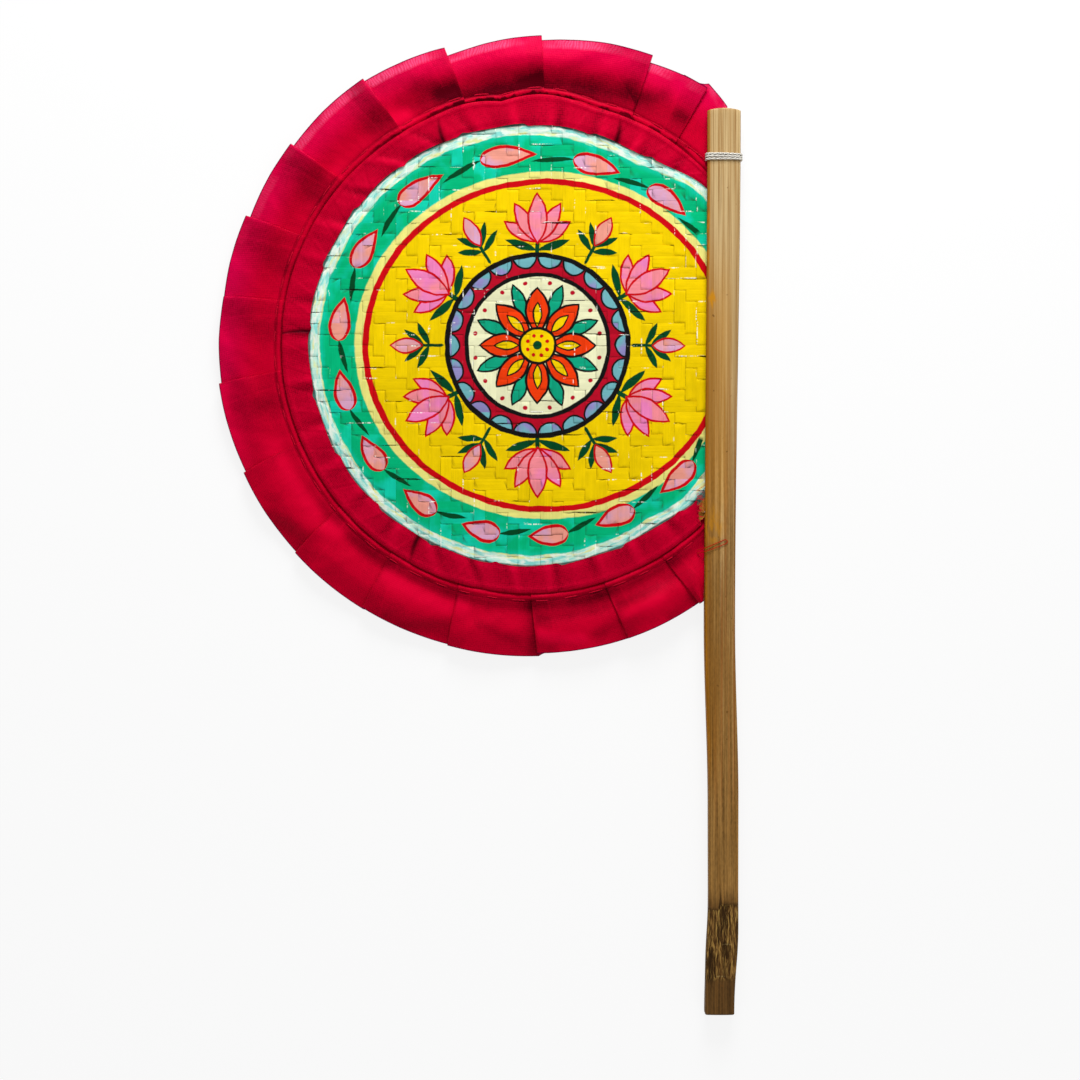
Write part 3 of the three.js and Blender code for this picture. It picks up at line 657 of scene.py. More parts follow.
def fold_depth(panel, along, v):
    """Depth of one panel's soft folds: the sum of a bell round the middle line of each."""
    depth = 0.0 * along * v
    for number, first, inner, last, outer, half, deepest in SOFT_FOLDS:
        if number == panel:
            line = np.array([PANEL_ASPECT * (last - first), outer - inner])
            x, y = PANEL_ASPECT * (along - first), v - inner
            share = np.clip((x * line[0] + y * line[1]) / line.dot(line), 0, 1)
            depth = depth + deepest * bell(np.hypot(x - share * line[0], y - share * line[1]), 0, half)
    return depth


def frill_rows(satin, v):
    """Rows of the frill's run: angle, pleat level, place past a fold in depths of its pleat, millimetres
    past the plain rim, belly, depth of soft folds. The run goes round the blade in knife pleats: on under
    the next fold, back in a half turn to it, and on from there in a second half turn as the next panel,
    which slopes down from fold to fold."""
    radius = satin.header + (satin.rim - satin.header) * v
    start = np.arccos((satin.upper - BLADE_X) / radius)
    end = TURN - np.arccos((satin.lower - BLADE_X) / radius)
    curl = 0.5 * frill_gap(v) / radius
    bend = math.pi * np.linspace(-0.5, 0.5, 7)[:, None]
    back = np.linspace(0, 1, 8)[1:, None]
    first = np.linspace(0, 1, 30)[:, None]
    panel = np.linspace(0, 1, 34)[1:, None]
    edges = [math.radians(degrees) - FOLD_LEAN * (1 - v) for degrees, _, _ in PLEATS] + [end]
    outset = START_RIM[0] + (START_RIM[1] - START_RIM[0]) * first
    opening = start + (edges[0] - start) * first
    stretches = [(opening, 1 - 2 * smooth(first, 0.1, 1.0), OPEN_PANEL, outset, 0.0, 0.0)]
    fallen = START_RIM[1]
    for k, (_, proud, fall) in enumerate(PLEATS):
        at, following = edges[k], edges[k + 1]
        slanted = np.clip(6.0 * (v - 0.25), 0.1, 3.0)
        share = slanted if k == WIDE_PLEAT else 0.75 + 0.5 * scatter(k, 2) + 0.3 * v
        depth = np.minimum(satin.pleat * share, 0.8 * (following - at))
        turn = at + (following - at) * panel
        tucked = min(fallen, proud) - 0.5
        stretches += [
            (at + depth * back, -1.0, 0.0, tucked + (fallen - tucked) * (1 - back) ** 4, 0.0, 0.0),
            (at + depth + curl * np.cos(bend[1:]), 0.5 * np.sin(bend[1:]) - 0.5, 0.0, tucked, 0.0, 0.0),
            (at + depth * (1 - back[:-1]), 0.0, 0.0, tucked + (proud - tucked) * back[:-1], 0.0, 0.0),
            (at - curl * np.cos(bend), 0.5 * np.sin(bend) + 0.5, 0.0, proud, 0.0, 0.0),
            (
                turn, 1 - 2 * smooth(panel, 0.25, 1.0), np.minimum((turn - at) / depth, OPEN_PANEL),
                proud + (fall - proud) * panel, np.sin(math.pi * panel), fold_depth(k, panel, v),
            ),
        ]
        fallen = fall
    shaped = [np.broadcast_arrays(*stretch, v)[:6] for stretch in stretches]
    return [np.concatenate(column) for column in zip(*shaped)]


def frill_height(satin, thread, turn, v, level, belly, soft):
    """Height of the frill's middle sheet: its pleat's level, a ridge between a hollow at the hem and one
    at the stitches, an arch from there to the rim, the rim's droop, and the panels' bellies, soft folds,
    drape and flutter. It is flat in the slit."""
    clear = smooth(turn, 0.98, 1.4)
    away = smooth(turn, 0.97, 1.75) * (1 - smooth(turn, 4.5, 5.3))
    gap = past_hem(satin, turn, v)
    rise = smooth(v, 0.27, 0.7) * (1 - 0.35 * smooth(v, 0.68, 1.0))
    arch = satin.arch * clear * (0.85 + 0.3 * ripple(turn * 5, 2)) * rise
    ridge = 0.5 * MM * clear * bell(gap, 2.2 * MM, 1.1 * MM) * (1 + 0.4 * ripple(turn * 17, 6))
    at_hem = 0.4 * MM * bell(gap, 0.3 * MM, 0.7 * MM)
    hollow = at_hem + 0.35 * MM * bell(gap, thread.stitch_line, 0.9 * MM)
    swell = 1.2 * MM * clear * belly * v * (0.7 + 0.6 * ripple(turn * 3, 8))
    drape = 0.45 * MM * clear * ripple(turn * 14 + 5 * v, 9) * smooth(v, 0.2, 0.7)
    flutter = 0.22 * MM * clear * ripple(turn * 31 + 4 * v, 4) * v
    lifted = arch + ridge - hollow + swell + drape + flutter - 0.7 * MM * clear * soft
    return frill_gap(v) * level + lifted - satin.droop * away * v**2


def frill_sheet(satin, thread):
    """Middle sheet of the frill, its values and its length along the cloth. Its rows lie closer together
    near the seam, and the rim steps at each fold."""
    v = np.concatenate([np.linspace(0, 0.2, 14), np.linspace(0.2, 1, 28)[1:]])[None]
    turn, level, past_fold, outset, belly, soft = frill_rows(satin, v)
    z = frill_height(satin, thread, turn, v, level, belly, soft)
    sheet = polar(satin.header + (satin.rim - satin.header + outset * MM) * v, turn, z)
    middle = sheet[:, sheet.shape[1] // 2]
    run = run_along(middle)
    values = {
        "run": both_sides(run[:, None] + 0 * turn),
        "cross": both_sides(v + 0 * turn),
        "past_fold": both_sides(past_fold),
        "past_hem": both_sides(past_hem(satin, turn, v) / MM),
        # The back gets a smaller share of the soft folds' painted shade and highlights, and of the hollows'
        # painted shade.
        "soft": wrapped(soft, BACK_SHADE * soft).ravel(),
        "front": wrapped(1 + 0 * turn, BACK_SHADE + 0 * turn).ravel(),
    }
    return sheet, values, float(run[-1])


def facing_sheet(satin, side):
    """Middle sheet of the front (side 1) or back (side -1) facing, and its values. The strip lifts from
    the blade at its raw inner edge, puckered because a straight strip goes round a curve, and slopes
    to a ridged hem that rolls down at its rim. A few tucks, where the strip is lapped, stand up as
    low ridges with one steep side, which the values darken with painted shade."""
    v = np.linspace(0, 1, 34)[None]
    u = np.linspace(0, 1, 1200)[:, None]
    seed = FRONT_SEED if side > 0 else BACK_SEED
    roll_start, roll_turn = 0.76, 1.2 * math.pi
    flat = np.minimum(v / roll_start, 1.0)
    curl = np.clip((v - roll_start) / (1 - roll_start), 0, 1) * roll_turn
    radius = satin.facing_inner + (satin.hem - satin.roll - satin.facing_inner) * flat
    start = np.arccos((satin.upper - BLADE_X) / (radius + satin.facing_spread * (1 - flat)))
    reach = radius + 0.4 * satin.facing_spread * (1 - flat)
    end_place = satin.facing_end + 1.6 * MM * flat + 0.5 * MM * ripple(9 * flat, seed)
    end = TURN - np.arccos((end_place - BLADE_X) / reach)
    turn = start + (end - start) * u
    beside = 1 - smooth(turn, 0.68, 1.08) + 0.4 * smooth(turn, 5.3, 5.53)
    spread = satin.facing_spread * beside * (1 - flat)
    ragged = 0.6 * MM * ripple(turn * 29, seed, 7) * (1 - flat) ** 5
    scallop = hem_wave(turn, seed) * smooth(flat, 0.4, 1.0)
    leaning = 0.1 * flat * (bell(turn, 2.2, 0.4) + bell(turn, 4.4, 0.25))
    gathers = ripple((turn - leaning) * 46, seed + 1, 3)
    pucker = 0.3 * MM * (1 + ripple((turn - leaning) * 19, seed + 1)) * (1 - 0.55 * flat)
    drag = 0.26 * MM * gathers * (1 - 0.5 * flat)
    fine = 0.11 * MM * ripple(turn * 95 + 5 * flat, seed + 2) * (1 - 0.4 * flat)
    tucks, leans, closed = np.array(FRONT_TUCKS if side > 0 else BACK_TUCKS).T
    deep = flat[..., None]
    past = (turn[..., None] - np.radians(tucks + leans * deep**2)) / 0.05
    ridge = (smooth(past, -0.2, 0.0) * np.exp(-np.maximum(past, 0))).sum(-1)
    crease = (bell(past, -0.2, 0.3 - 0.16 * deep) * (1 - closed * deep**2)).sum(-1)
    open_air = smooth(turn, 0.8, 1.0)
    slope = 0.45 * smooth(flat, 0.0, 0.25) - 0.55 * flat + 0.35 * bell(flat, 0.93, 0.09)
    swell = MM * slope * (1 + 0.25 * ripple(turn * 9, seed + 3))
    lifted = pucker + drag + 0.9 * MM * ridge * (1 - 0.4 * flat)
    z = satin.seat + fine + swell + open_air * lifted + satin.roll * (np.cos(curl) - 1)
    sheet = polar(radius + spread + ragged + scallop + satin.roll * np.sin(curl), turn, side * z)
    # The tucks' creases, the gathers and the hem's curl are kept here to paint shade and highlights into the
    # colour.
    values = {
        "run": both_sides(turn * satin.hem),
        "cross": both_sides(flat + 0 * turn),
        "layers": both_sides(np.clip(crease, 0, 1)),
        "gathers": both_sides(gathers * (1 - 0.7 * flat)),
        "share": both_sides(curl / roll_turn + 0 * turn),
    }
    return sheet, values


def stitch_paths(satin, thread, side):
    """Middle lines of the seam's running stitches on the front (side 1) or back (side -1): each an arc
    that lies on the frill and dips into it at both ends. The back's stitches lie in the front's gaps."""
    radius = satin.hem + thread.stitch_line
    v = np.array([[(radius - satin.header) / (satin.rim - satin.header)]])
    turn, level, _, _, belly, soft = (column[:, 0] for column in frill_rows(satin, v))
    panel = belly > 0
    pitch = 2 * thread.stitch_length / radius
    first, last = math.radians(47.5), math.radians(313.0)
    centres = np.arange(first, last, pitch) + (0 if side > 0 else pitch / 2)
    centres = centres + 0.12 * pitch * (scatter(np.arange(len(centres)), 6) - 0.5)
    s = np.linspace(-1, 1, 11)[None]
    lengths = thread.stitch_length * (0.85 + 0.3 * scatter(np.arange(len(centres)), 3))[:, None]
    turns = centres[:, None] + 0.5 * lengths / radius * s
    levels = np.interp(turns, turn[panel], level[panel])
    softs = np.interp(turns, turn[panel], soft[panel])
    place = radius + hem_wave(turns, FRONT_SEED) + 0.25 * MM * ripple(turns * 11, 5)
    v = (place - satin.header) / (satin.rim - satin.header)
    surface = frill_height(satin, thread, turns, v, levels, 0.0, softs)
    proud = 0.5 * satin.cloth + thread.stitch * (0.45 - 0.9 * np.abs(s) ** 5)
    return polar(place, turns, surface + side * proud)


def fray_paths(satin, thread):
    """Middle lines of the yarns that fray from the front facing's lower end: each starts in the raw
    end and wanders across towards the stick, a little up and aside."""
    count = 26
    number = np.arange(count)
    s = np.linspace(0, 1, 12)[None]
    radius = satin.facing_inner + (satin.hem - satin.facing_inner) * (0.05 + 0.9 * scatter(number, 1))
    turn = TURN - np.arccos((satin.facing_end + 0.8 * MM - BLADE_X) / radius)
    root = polar(radius, turn, satin.seat + 0.9 * MM)
    reach = (1.4 + 3.4 * scatter(number, 2) ** 2)[:, None] * MM
    lean = (2.2 * scatter(number, 3) - 1.1)[:, None]
    x = root[:, :1] - 1.0 * MM + (reach + 1.0 * MM) * s * np.cos(0.5 * lean)
    wander = 0.25 * MM * ripple(3 * s + number[:, None], 2)
    y = root[:, 1:2] + reach * s * lean * (0.4 + 0.6 * s) + wander
    z = root[:, 2:] + 0.5 * MM * s * (scatter(number, 4)[:, None] - 0.2)
    return np.stack([x, y, z], axis=-1)


def loose_bight(stick, satin):
    """Route of the seam's loose bight: out of the frill's lower end near its seam, over the stick's
    edge onto its front, round in a hairpin there, and back the same way."""
    edge = float(stick_sway(stick, stick.foot) - stick_half_width(stick, stick.foot)) / MM
    root = edge - 3.6
    root_radius = satin.header / MM + 0.34 * (satin.rim - satin.header) / MM
    foot = BLADE_Y / MM - math.sqrt(root_radius**2 - (root - BLADE_X / MM) ** 2)
    low, high = 1.075, 5.5
    route = [
        (root, foot, low), (edge - 1.8, foot + 0.3, low + 1.4), (edge - 0.9, foot + 0.6, high - 0.8),
        (edge + 0.9, foot + 1.1, high), (edge + 4, foot + 2.2, high), (edge + 8, foot + 3.8, high),
        (edge + 10.6, foot + 4.8, high), (edge + 11.2, foot + 5.3, high),
        (edge + 11.2, foot + 6.1, high), (edge + 10.6, foot + 6.7, high),
        (edge + 9.8, foot + 6.7, high), (edge + 8, foot + 5.9, high), (edge + 4, foot + 4.2, high),
        (edge + 0.9, foot + 2.9, high), (edge - 0.9, foot + 2.3, high - 0.8),
        (edge - 1.8, foot + 1.9, low + 1.4), (root, foot + 1.7, low),
    ]
    path = even_path(curve_through(np.array(route) * MM, 24), 160)
    for _ in range(9):
        path[1:-1] = 0.5 * path[1:-1] + 0.25 * (path[:-2] + path[2:])
    return path


# Shaders


class Value:
    """A shader socket. Each operator used on it adds a Math node to its finish."""

    def __init__(self, finish, socket):
        self.finish = finish
        self.socket = socket

    def math(self, operation, *others):
        """A Math node on this value and others."""
        sockets = dict(enumerate((self, *others)))
        return self.finish.add("ShaderNodeMath", {"operation": operation}, sockets)

    def reflected(self, operation, other):
        """A Math node on another value and this one."""
        return self.finish.add("ShaderNodeMath", {"operation": operation}, {0: other, 1: self})

    def __add__(self, other):
        return self.math("ADD", other)

    def __sub__(self, other):
        return self.math("SUBTRACT", other)

    def __rsub__(self, other):
        return self.reflected("SUBTRACT", other)

    def __mul__(self, other):
        return self.math("MULTIPLY", other)

    def __truediv__(self, other):
        return self.math("DIVIDE", other)

    def __pow__(self, other):
        return self.math("POWER", other)

    def __neg__(self):
        return self.math("MULTIPLY", -1.0)

    def __abs__(self):
        return self.math("ABSOLUTE")

    __radd__ = __add__
    __rmul__ = __mul__


class Finish:
    """The nodes of one material or world: one method adds any node, and the others are short words for
    common ones."""

    def __init__(self, owner):
        owner.use_nodes = True
        self.owner = owner
        self.tree = owner.node_tree
        self.tree.nodes.clear()

    def add(self, kind, settings, sockets, output=0):
        """A node of a kind: its settings, then the values or links of its sockets. Gives one output."""
        node = self.tree.nodes.new(kind)
        for key, setting in settings.items():
            if key == "stops":
                self.set_stops(node.color_ramp.elements, setting)
            else:
                setattr(node, key, setting)
        for key, value in sockets.items():
            socket = node.inputs[key]
            if isinstance(value, Value):
                self.tree.links.new(value.socket, socket)
            elif socket.type == "RGBA":
                socket.default_value = (*value, 1.0)
            else:
                socket.default_value = value
        return Value(self, node.outputs[output]) if len(node.outputs) else None

    def set_stops(self, elements, stops):
        """Places and colours of a ramp, in order."""
        while len(elements) < len(stops):
            elements.new(1.0)
        for element, (place, shade) in zip(elements, stops):
            element.position = place
            element.color = (*shade, 1.0)

    def point(self):
        """The point in the object's own coordinates."""
        return self.add("ShaderNodeTexCoord", {}, {}, "Object")

    def attribute(self, name):
        """One of the piece's point values."""
        return self.add("ShaderNodeAttribute", {"attribute_name": name}, {}, "Fac")

    def parts(self, vector):
        """The three parts of a vector."""
        first = self.add("ShaderNodeSeparateXYZ", {}, {0: vector})
        return [Value(self, socket) for socket in first.socket.node.outputs]

    def vector(self, x, y, z):
        """A vector of three parts."""
        return self.add("ShaderNodeCombineXYZ", {}, {0: x, 1: y, 2: z})

    def step(self, value, low, high):
        """0 below low, 1 above high, and straight between."""
        return self.add("ShaderNodeMapRange", {}, {0: value, 1: low, 2: high, 3: 0.0, 4: 1.0})

    def ease(self, value, low, high):
        """0 below low, 1 above high, and an even S between."""
        settings = {"interpolation_type": "SMOOTHSTEP"}
        return self.add("ShaderNodeMapRange", settings, {0: value, 1: low, 2: high, 3: 0.0, 4: 1.0})

    def noise(self, vector, scale, detail=2.0):
        """A cloudy value from 0 to 1."""
        return self.add("ShaderNodeTexNoise", {}, {"Vector": vector, "Scale": scale, "Detail": detail})

    def clouds(self, x, y, z, detail=2.0):
        """A cloudy value from 0 to 1 at a place whose parts are already scaled."""
        return self.noise(self.vector(x, y, z), 1.0, detail)

    def mix(self, under, over, amount, blend="MIX"):
        """A colour laid over another by an amount."""
        settings = {"data_type": "RGBA", "blend_type": blend}
        return self.add("ShaderNodeMix", settings, {0: amount, 6: under, 7: over}, 2)

    def ramp(self, value, stops):
        """A colour picked by a value from stops."""
        return self.add("ShaderNodeValToRGB", {"stops": stops}, {0: value})

    def bump(self, height, distance):
        """A normal tilted by a height."""
        return self.add("ShaderNodeBump", {}, {"Height": height, "Distance": distance, "Strength": 1.0})

    def distance(self, x, y):
        """Length of a pair of values."""
        return (x * x + y * y) ** 0.5

    def polar(self, x, y):
        """Radius and angle of a point, the angle from 0 to a whole turn."""
        return self.distance(x, y), (-y).math("ARCTAN2", -x) + math.pi

    def spread(self, radius, turn):
        """Place along and across the ray at angle 0 of a point given by its radius and angle."""
        return radius * turn.math("COSINE"), radius * turn.math("SINE")

    def seen(self):
        """1 for rays from the camera, straight or by way of a mirror or glass, and 0 for others."""
        rays = self.tree.nodes.new("ShaderNodeLightPath").outputs
        kinds = [Value(self, rays[f"Is {kind} Ray"]) for kind in ("Camera", "Glossy", "Transmission")]
        return sum(kinds[1:], kinds[0]).math("MINIMUM", 1.0)

    def surface(self, sockets):
        """The material, its surface a principled shader with these sockets."""
        shader = self.add("ShaderNodeBsdfPrincipled", {}, sockets)
        self.add("ShaderNodeOutputMaterial", {}, {"Surface": shader})
        return self.owner


def new_finish(name):
    """The nodes of a new material."""
    return Finish(bpy.data.materials.new(name))


def stick_finish(stick):
    """Planed bamboo: long pale, honey and ruddy streaks, browner towards the grip, rind along its edges,
    a dark fibrous joint over a brown butt, and a little paint rubbed onto it."""
    finish = new_finish("stick_bamboo")
    x, y, z = finish.parts(finish.point())
    up = y / MM
    fine = finish.clouds(x * 1150.0, y * 14.0, z * 1150.0)
    broad = finish.clouds(x * 420.0, y * 5.0, z * 420.0)
    cloud = finish.clouds(x * 60.0, y * 26.0, z * 60.0)
    middle = tuple(0.6 * a + 0.4 * b for a, b in zip(stick.handled, stick.planed))
    stops = ((0.0, stick.handled), (0.42, stick.handled), (0.64, middle), (0.85, stick.planed))
    ground = finish.ramp((up + 60 * (cloud - 0.5)) / (stick.length / MM), stops)
    ground = finish.mix(ground, stick.honey, 0.5 * finish.step(broad, 0.48, 0.72))
    ground = finish.mix(ground, stick.honey, 0.7 * finish.step(fine, 0.5, 0.7))
    ruddy = finish.clouds(x * 640.0, y * 6.0, z * 640.0 + 9.0)
    above_grip = finish.ease(up, 80.0, 130.0) * finish.ease(up, 360.0, 260.0)
    ground = finish.mix(ground, stick.ruddy, 0.5 * finish.step(ruddy, 0.5, 0.62) * above_grip)
    pale = 0.34 * finish.step(fine, 0.46, 0.3)
    ground = finish.mix(ground, stick.streak, pale * finish.ease(up, 60.0, 330.0))
    hair = finish.clouds(x * 1700.0, y * 24.0, z * 1700.0)
    fibres = finish.step(hair, 0.52, 0.68) * (0.4 + 0.6 * finish.step(broad, 0.36, 0.6))
    ground = finish.mix(ground, stick.fibre, 0.4 * fibres)
    cross = finish.attribute("cross") + 0.08 * (cloud - 0.5)
    golden = finish.ease(up, 215.0, 275.0) * finish.ease(up, 400.0, 340.0) * finish.ease(cross, 0.9, 0.0)
    ground = finish.mix(ground, stick.golden, 0.42 * golden)
    warm = finish.step(cross, 0.1, -0.6) * finish.ease(up, 95.0, 140.0) * finish.ease(up, 400.0, 300.0)
    ground = finish.mix(ground, darker(stick.rind, 0.75), 0.5 * warm)
    left = finish.step(cross, -0.76, -0.88) * finish.ease(up, 105.0, 150.0)
    right = 0.4 * finish.step(cross, 0.94, 0.99)
    ground = finish.mix(ground, stick.rind, 0.9 * left.math("MAXIMUM", right))
    browned = finish.ease(up + 24 * (broad - 0.5) + 14 * (fine - 0.5), 64.0, 50.0)
    ground = finish.mix(ground, stick.scar, 0.8 * browned)
    ground, joint, relief = paint_joint(finish, stick, ground, x, y, z, fine)
    grain = finish.clouds(x * 1500.0, y * 420.0, z * 1500.0, 1.0)
    streaks = 0.45 * finish.step(fine, 0.62, 0.36) + 0.8 * hair + 0.5 * grain
    contrast = 1.4 - 0.4 * finish.ease(up, 90.0, 180.0) - 0.85 * finish.ease(up, 220.0, 330.0)
    ground = finish.mix(ground, 0.98 + contrast * (streaks - 0.84), 1.0, "MULTIPLY")
    speck = finish.step(finish.clouds(x * 420.0, y * 300.0, z * 420.0, 1.0), 0.74, 0.79)
    ground = finish.mix(ground, stick.fibre, 0.7 * speck)
    ground = paint_stains(finish, stick, ground, x, y)
    return finish.surface({
        "Base Color": ground,
        "Roughness": 0.55 + 0.2 * joint + 0.1 * fine,
        "Specular IOR Level": 0.08,
        "Normal": finish.bump(0.4 * fine + relief, 0.25 * MM),
    })


def paint_stains(finish, stick, under, x, y):
    """Yellow paint rubbed onto the stick beside the blade: a patch low down, a smaller one higher up, and
    a smear along the edge. Lengths are millimetres."""
    aside, up = x / MM, y / MM
    patchy = finish.step(finish.clouds(x * 600.0, y * 160.0, 0.0), 0.4, 0.54)
    low_stain = 0.6 * finish.step(abs(up - 243.0) * 0.55 + abs(aside + 3.0) * 1.1, 8.0, 3.0)
    high_stain = finish.step(abs(up - 357.0) + abs(aside + 3.7) * 2.0, 6.0, 3.0)
    smear = 0.8 * finish.step(aside, -4.6, -5.8) * finish.step(abs(up - 385.0), 22.0, 14.0)
    rubbed = low_stain.math("MAXIMUM", high_stain).math("MAXIMUM", smear) * patchy
    return finish.mix(under, stick.stain, 0.9 * rubbed)


def paint_joint(finish, stick, under, x, y, z, fine):
    """The culm's joint: a patch of torn fibres with a dark stepped upper edge, a split above it, dark
    hollows and two pale scratches. Gives the colour, the patch and its relief."""
    aside, up = x / MM, y / MM
    bent = finish.clouds(x * 260.0, y * 170.0, z * 260.0)
    fibre = finish.clouds(x * 2300.0 + 5.0 * bent, y * 150.0, z * 2300.0, 4.0)
    jag = 3.0 * (fine - 0.5) + 2.0 * (fibre - 0.5)
    edge = 52.4 + 2.8 * finish.step(aside, -0.9, -0.3) + jag
    joint = finish.step(up - edge, 0.3, -0.3) * finish.step(up + jag, 16.8, 18.6)
    hollow = 0.65 * finish.step(abs(up - edge), 1.4, 0.2) * finish.step(fibre, 0.62, 0.44)
    split = abs(aside - 0.5) * 12.0 + up - 2.0 * jag
    hollow = hollow.math("MAXIMUM", finish.step(split, 63.0, 60.0) * finish.step(up, 54.0, 55.0))
    for place, height, half_width, half_height in JOINT_HOLLOWS:
        reach = finish.distance((aside - place) / half_width, (up - height) / half_height)
        hollow = hollow.math("MAXIMUM", finish.step(reach + 3.0 * (fibre - 0.5), 1.25, 0.55))
    torn = finish.mix(stick.handled, stick.splinter, finish.step(fibre, 0.54, 0.7))
    torn = finish.mix(torn, stick.scar, finish.step(fibre, 0.58, 0.44))
    torn = finish.mix(torn, darker(stick.scar, 0.5), finish.step(fibre, 0.4, 0.33))
    ground = finish.mix(under, torn, 0.9 * joint)
    ground = finish.mix(ground, darker(stick.scar, 0.5), 0.75 * hollow)
    for height, begin, end in JOINT_SCRATCHES:
        middle, half = 0.5 * (begin + end), 0.5 * (end - begin)
        line = finish.step(abs(up - height - 1.2 * (bent - 0.5)), 0.38, 0.16)
        reach = finish.step(abs(aside - middle), half, half - 0.8)
        ground = finish.mix(ground, stick.scratch, 0.6 * line * reach * finish.step(fibre, 0.4, 0.55))
    return ground, joint, 2.4 * joint * fibre - 1.2 * hollow


# Millimetres over which a painted edge fades, and by which the brush wanders.
PAINT_EDGE = 0.16
BRUSH_WANDER = 1.5
# Outer edges of the painted rings, in millimetres from the blade's centre: the oval ones of the field, the
# red line and the pale ring, and the round ones of the border, the rim ring and the shadow beside it.
FIELD_EDGE, LINE_EDGE, PALE_EDGE = 80.3, 83.2, 86.6
BORDER_EDGE, RIM_EDGE, SHADOW_EDGE = 104.7, 109.4, 112.2


def lens(u, w, length, half):
    """Depth inside a leaf shape: a parabola over its length u, less the distance w from its midrib."""
    s = u / length
    return 4 * half * s * (1 - s) - abs(w)


def turned(u, w, degrees):
    """A place along and across an axis that is turned by an angle."""
    cosine, sine = math.cos(math.radians(degrees)), math.sin(math.radians(degrees))
    return u * cosine + w * sine, w * cosine - u * sine


def plain(finish, under, depth, shade):
    """A shape painted on a ground in one colour, wherever the depth inside it is above 0."""
    return finish.mix(under, shade, finish.step(depth, -PAINT_EDGE, PAINT_EDGE))


def stamp(finish, under, depth, line, fill, width):
    """A shape painted on a ground: its outline's colour from its edge in, and its fill inside that."""
    outlined = plain(finish, under, depth, line)
    return finish.mix(outlined, fill, finish.step(depth, width - PAINT_EDGE, width + PAINT_EDGE))


def repeated(turn, count, first):
    """Angle from the nearest of evenly spaced copies round a turn."""
    half = math.pi / count
    return (turn - first).math("WRAP", half, -half)


def paint_rings(finish, blade, x, y, cloud):
    """The yellow field inside an oval red line and pale ring, the green border, and the pale rim ring,
    which spreads out beside the slit, with bare bamboo outside it. Lengths are millimetres from the
    blade's centre."""
    radius, turn = finish.polar(x, y)
    beside = 9.5 * finish.ease(turn, 1.1, 0.66) + 3.2 * finish.ease(turn, 5.3, 5.53)
    rim = radius - beside
    oval = finish.distance((x - 8.0) * 0.911, y)
    green = finish.mix(blade.green, blade.cyan, 0.85 * finish.step(cloud, 0.5, 0.64))
    stroke = finish.clouds(turn * 9.0, rim * 0.55, 0.0, 3.0) + 0.25 * (cloud - 0.5)
    green = finish.mix(green, blade.cyan, 0.6 * finish.ease(rim, 101.5, 105.0))
    creamy = finish.step(stroke + 0.035 * (107.0 - rim), 0.53, 0.63)
    mint = finish.mix(blade.mint, blade.pale, 0.75 * creamy)
    watery = finish.step(stroke + 0.02 * (107.0 - rim), 0.48, 0.39)
    mint = finish.mix(mint, blade.water, 0.75 * watery)
    chalky = finish.step(finish.clouds(turn * 21.0, rim * 0.5, 4.0), 0.5, 0.6)
    mint = finish.mix(mint, blade.chalk, 0.8 * chalky)
    ground = finish.mix(green, mint, finish.step(rim + 2.6 * (stroke - 0.5), BORDER_EDGE, BORDER_EDGE + 0.6))
    ground = finish.mix(ground, blade.shadow, 0.8 * finish.step(rim, RIM_EDGE, RIM_EDGE + 0.6))
    ground = finish.mix(ground, blade.rind, finish.step(rim, SHADOW_EDGE, SHADOW_EDGE + 1.0))
    ground = finish.mix(blade.pale, ground, finish.step(oval, PALE_EDGE, PALE_EDGE + 0.5))
    ground = finish.mix(blade.red, ground, finish.step(oval, LINE_EDGE, LINE_EDGE + 0.3))
    ground = finish.mix(blade.field, ground, finish.step(oval, FIELD_EDGE, FIELD_EDGE + 0.3))
    return ground, radius, turn


def paint_buds(finish, blade, under, radius, turn, cloud):
    """A ring of teardrop buds in the border, each with its tip on the clockwise side and a leaf stroke
    from its round end. They stand a little further apart at the upper left."""
    even = turn - math.radians(12.5) * finish.ease(turn, 1.08, 2.53) * finish.ease(turn, 5.67, 2.88)
    pitch = (LAST_BUD - FIRST_BUD) / (BUDS - 1)
    shown = finish.step(turn, 0.58, 0.6) * finish.step(turn, 5.8, 5.78)
    ring, leaf_start, leaf_length = 95.5, 9.5, 18.5
    w = radius - ring - 7.4 * finish.step(turn, 1.26, 0.56) - 4.5 * finish.step(turn, 5.15, 5.6)
    leaf_middle = FIRST_BUD + (leaf_start + leaf_length / 2) / ring
    along = ring * (even - leaf_middle).math("WRAP", pitch / 2, -pitch / 2) + leaf_length / 2
    stroke = lens(along, w + 0.2 * along, leaf_length, 1.3)
    under = finish.mix(under, blade.leaf, shown * finish.step(stroke, -PAINT_EDGE, PAINT_EDGE))
    u = ring * (even - FIRST_BUD).math("WRAP", pitch / 2, -pitch / 2)
    place = (u + 12.0) / 22.5
    s = place.math("MAXIMUM", 0.0).math("MINIMUM", 1.0)
    drop = 14.4 * s * (1 - s) ** 0.5 - abs(w) - 20.0 * abs(place - s) - 4.0 * (1 - shown)
    fill = finish.mix(blade.bud, blade.mauve, finish.step(cloud, 0.42, 0.6))
    return stamp(finish, under, drop, blade.red, fill, 1.6)


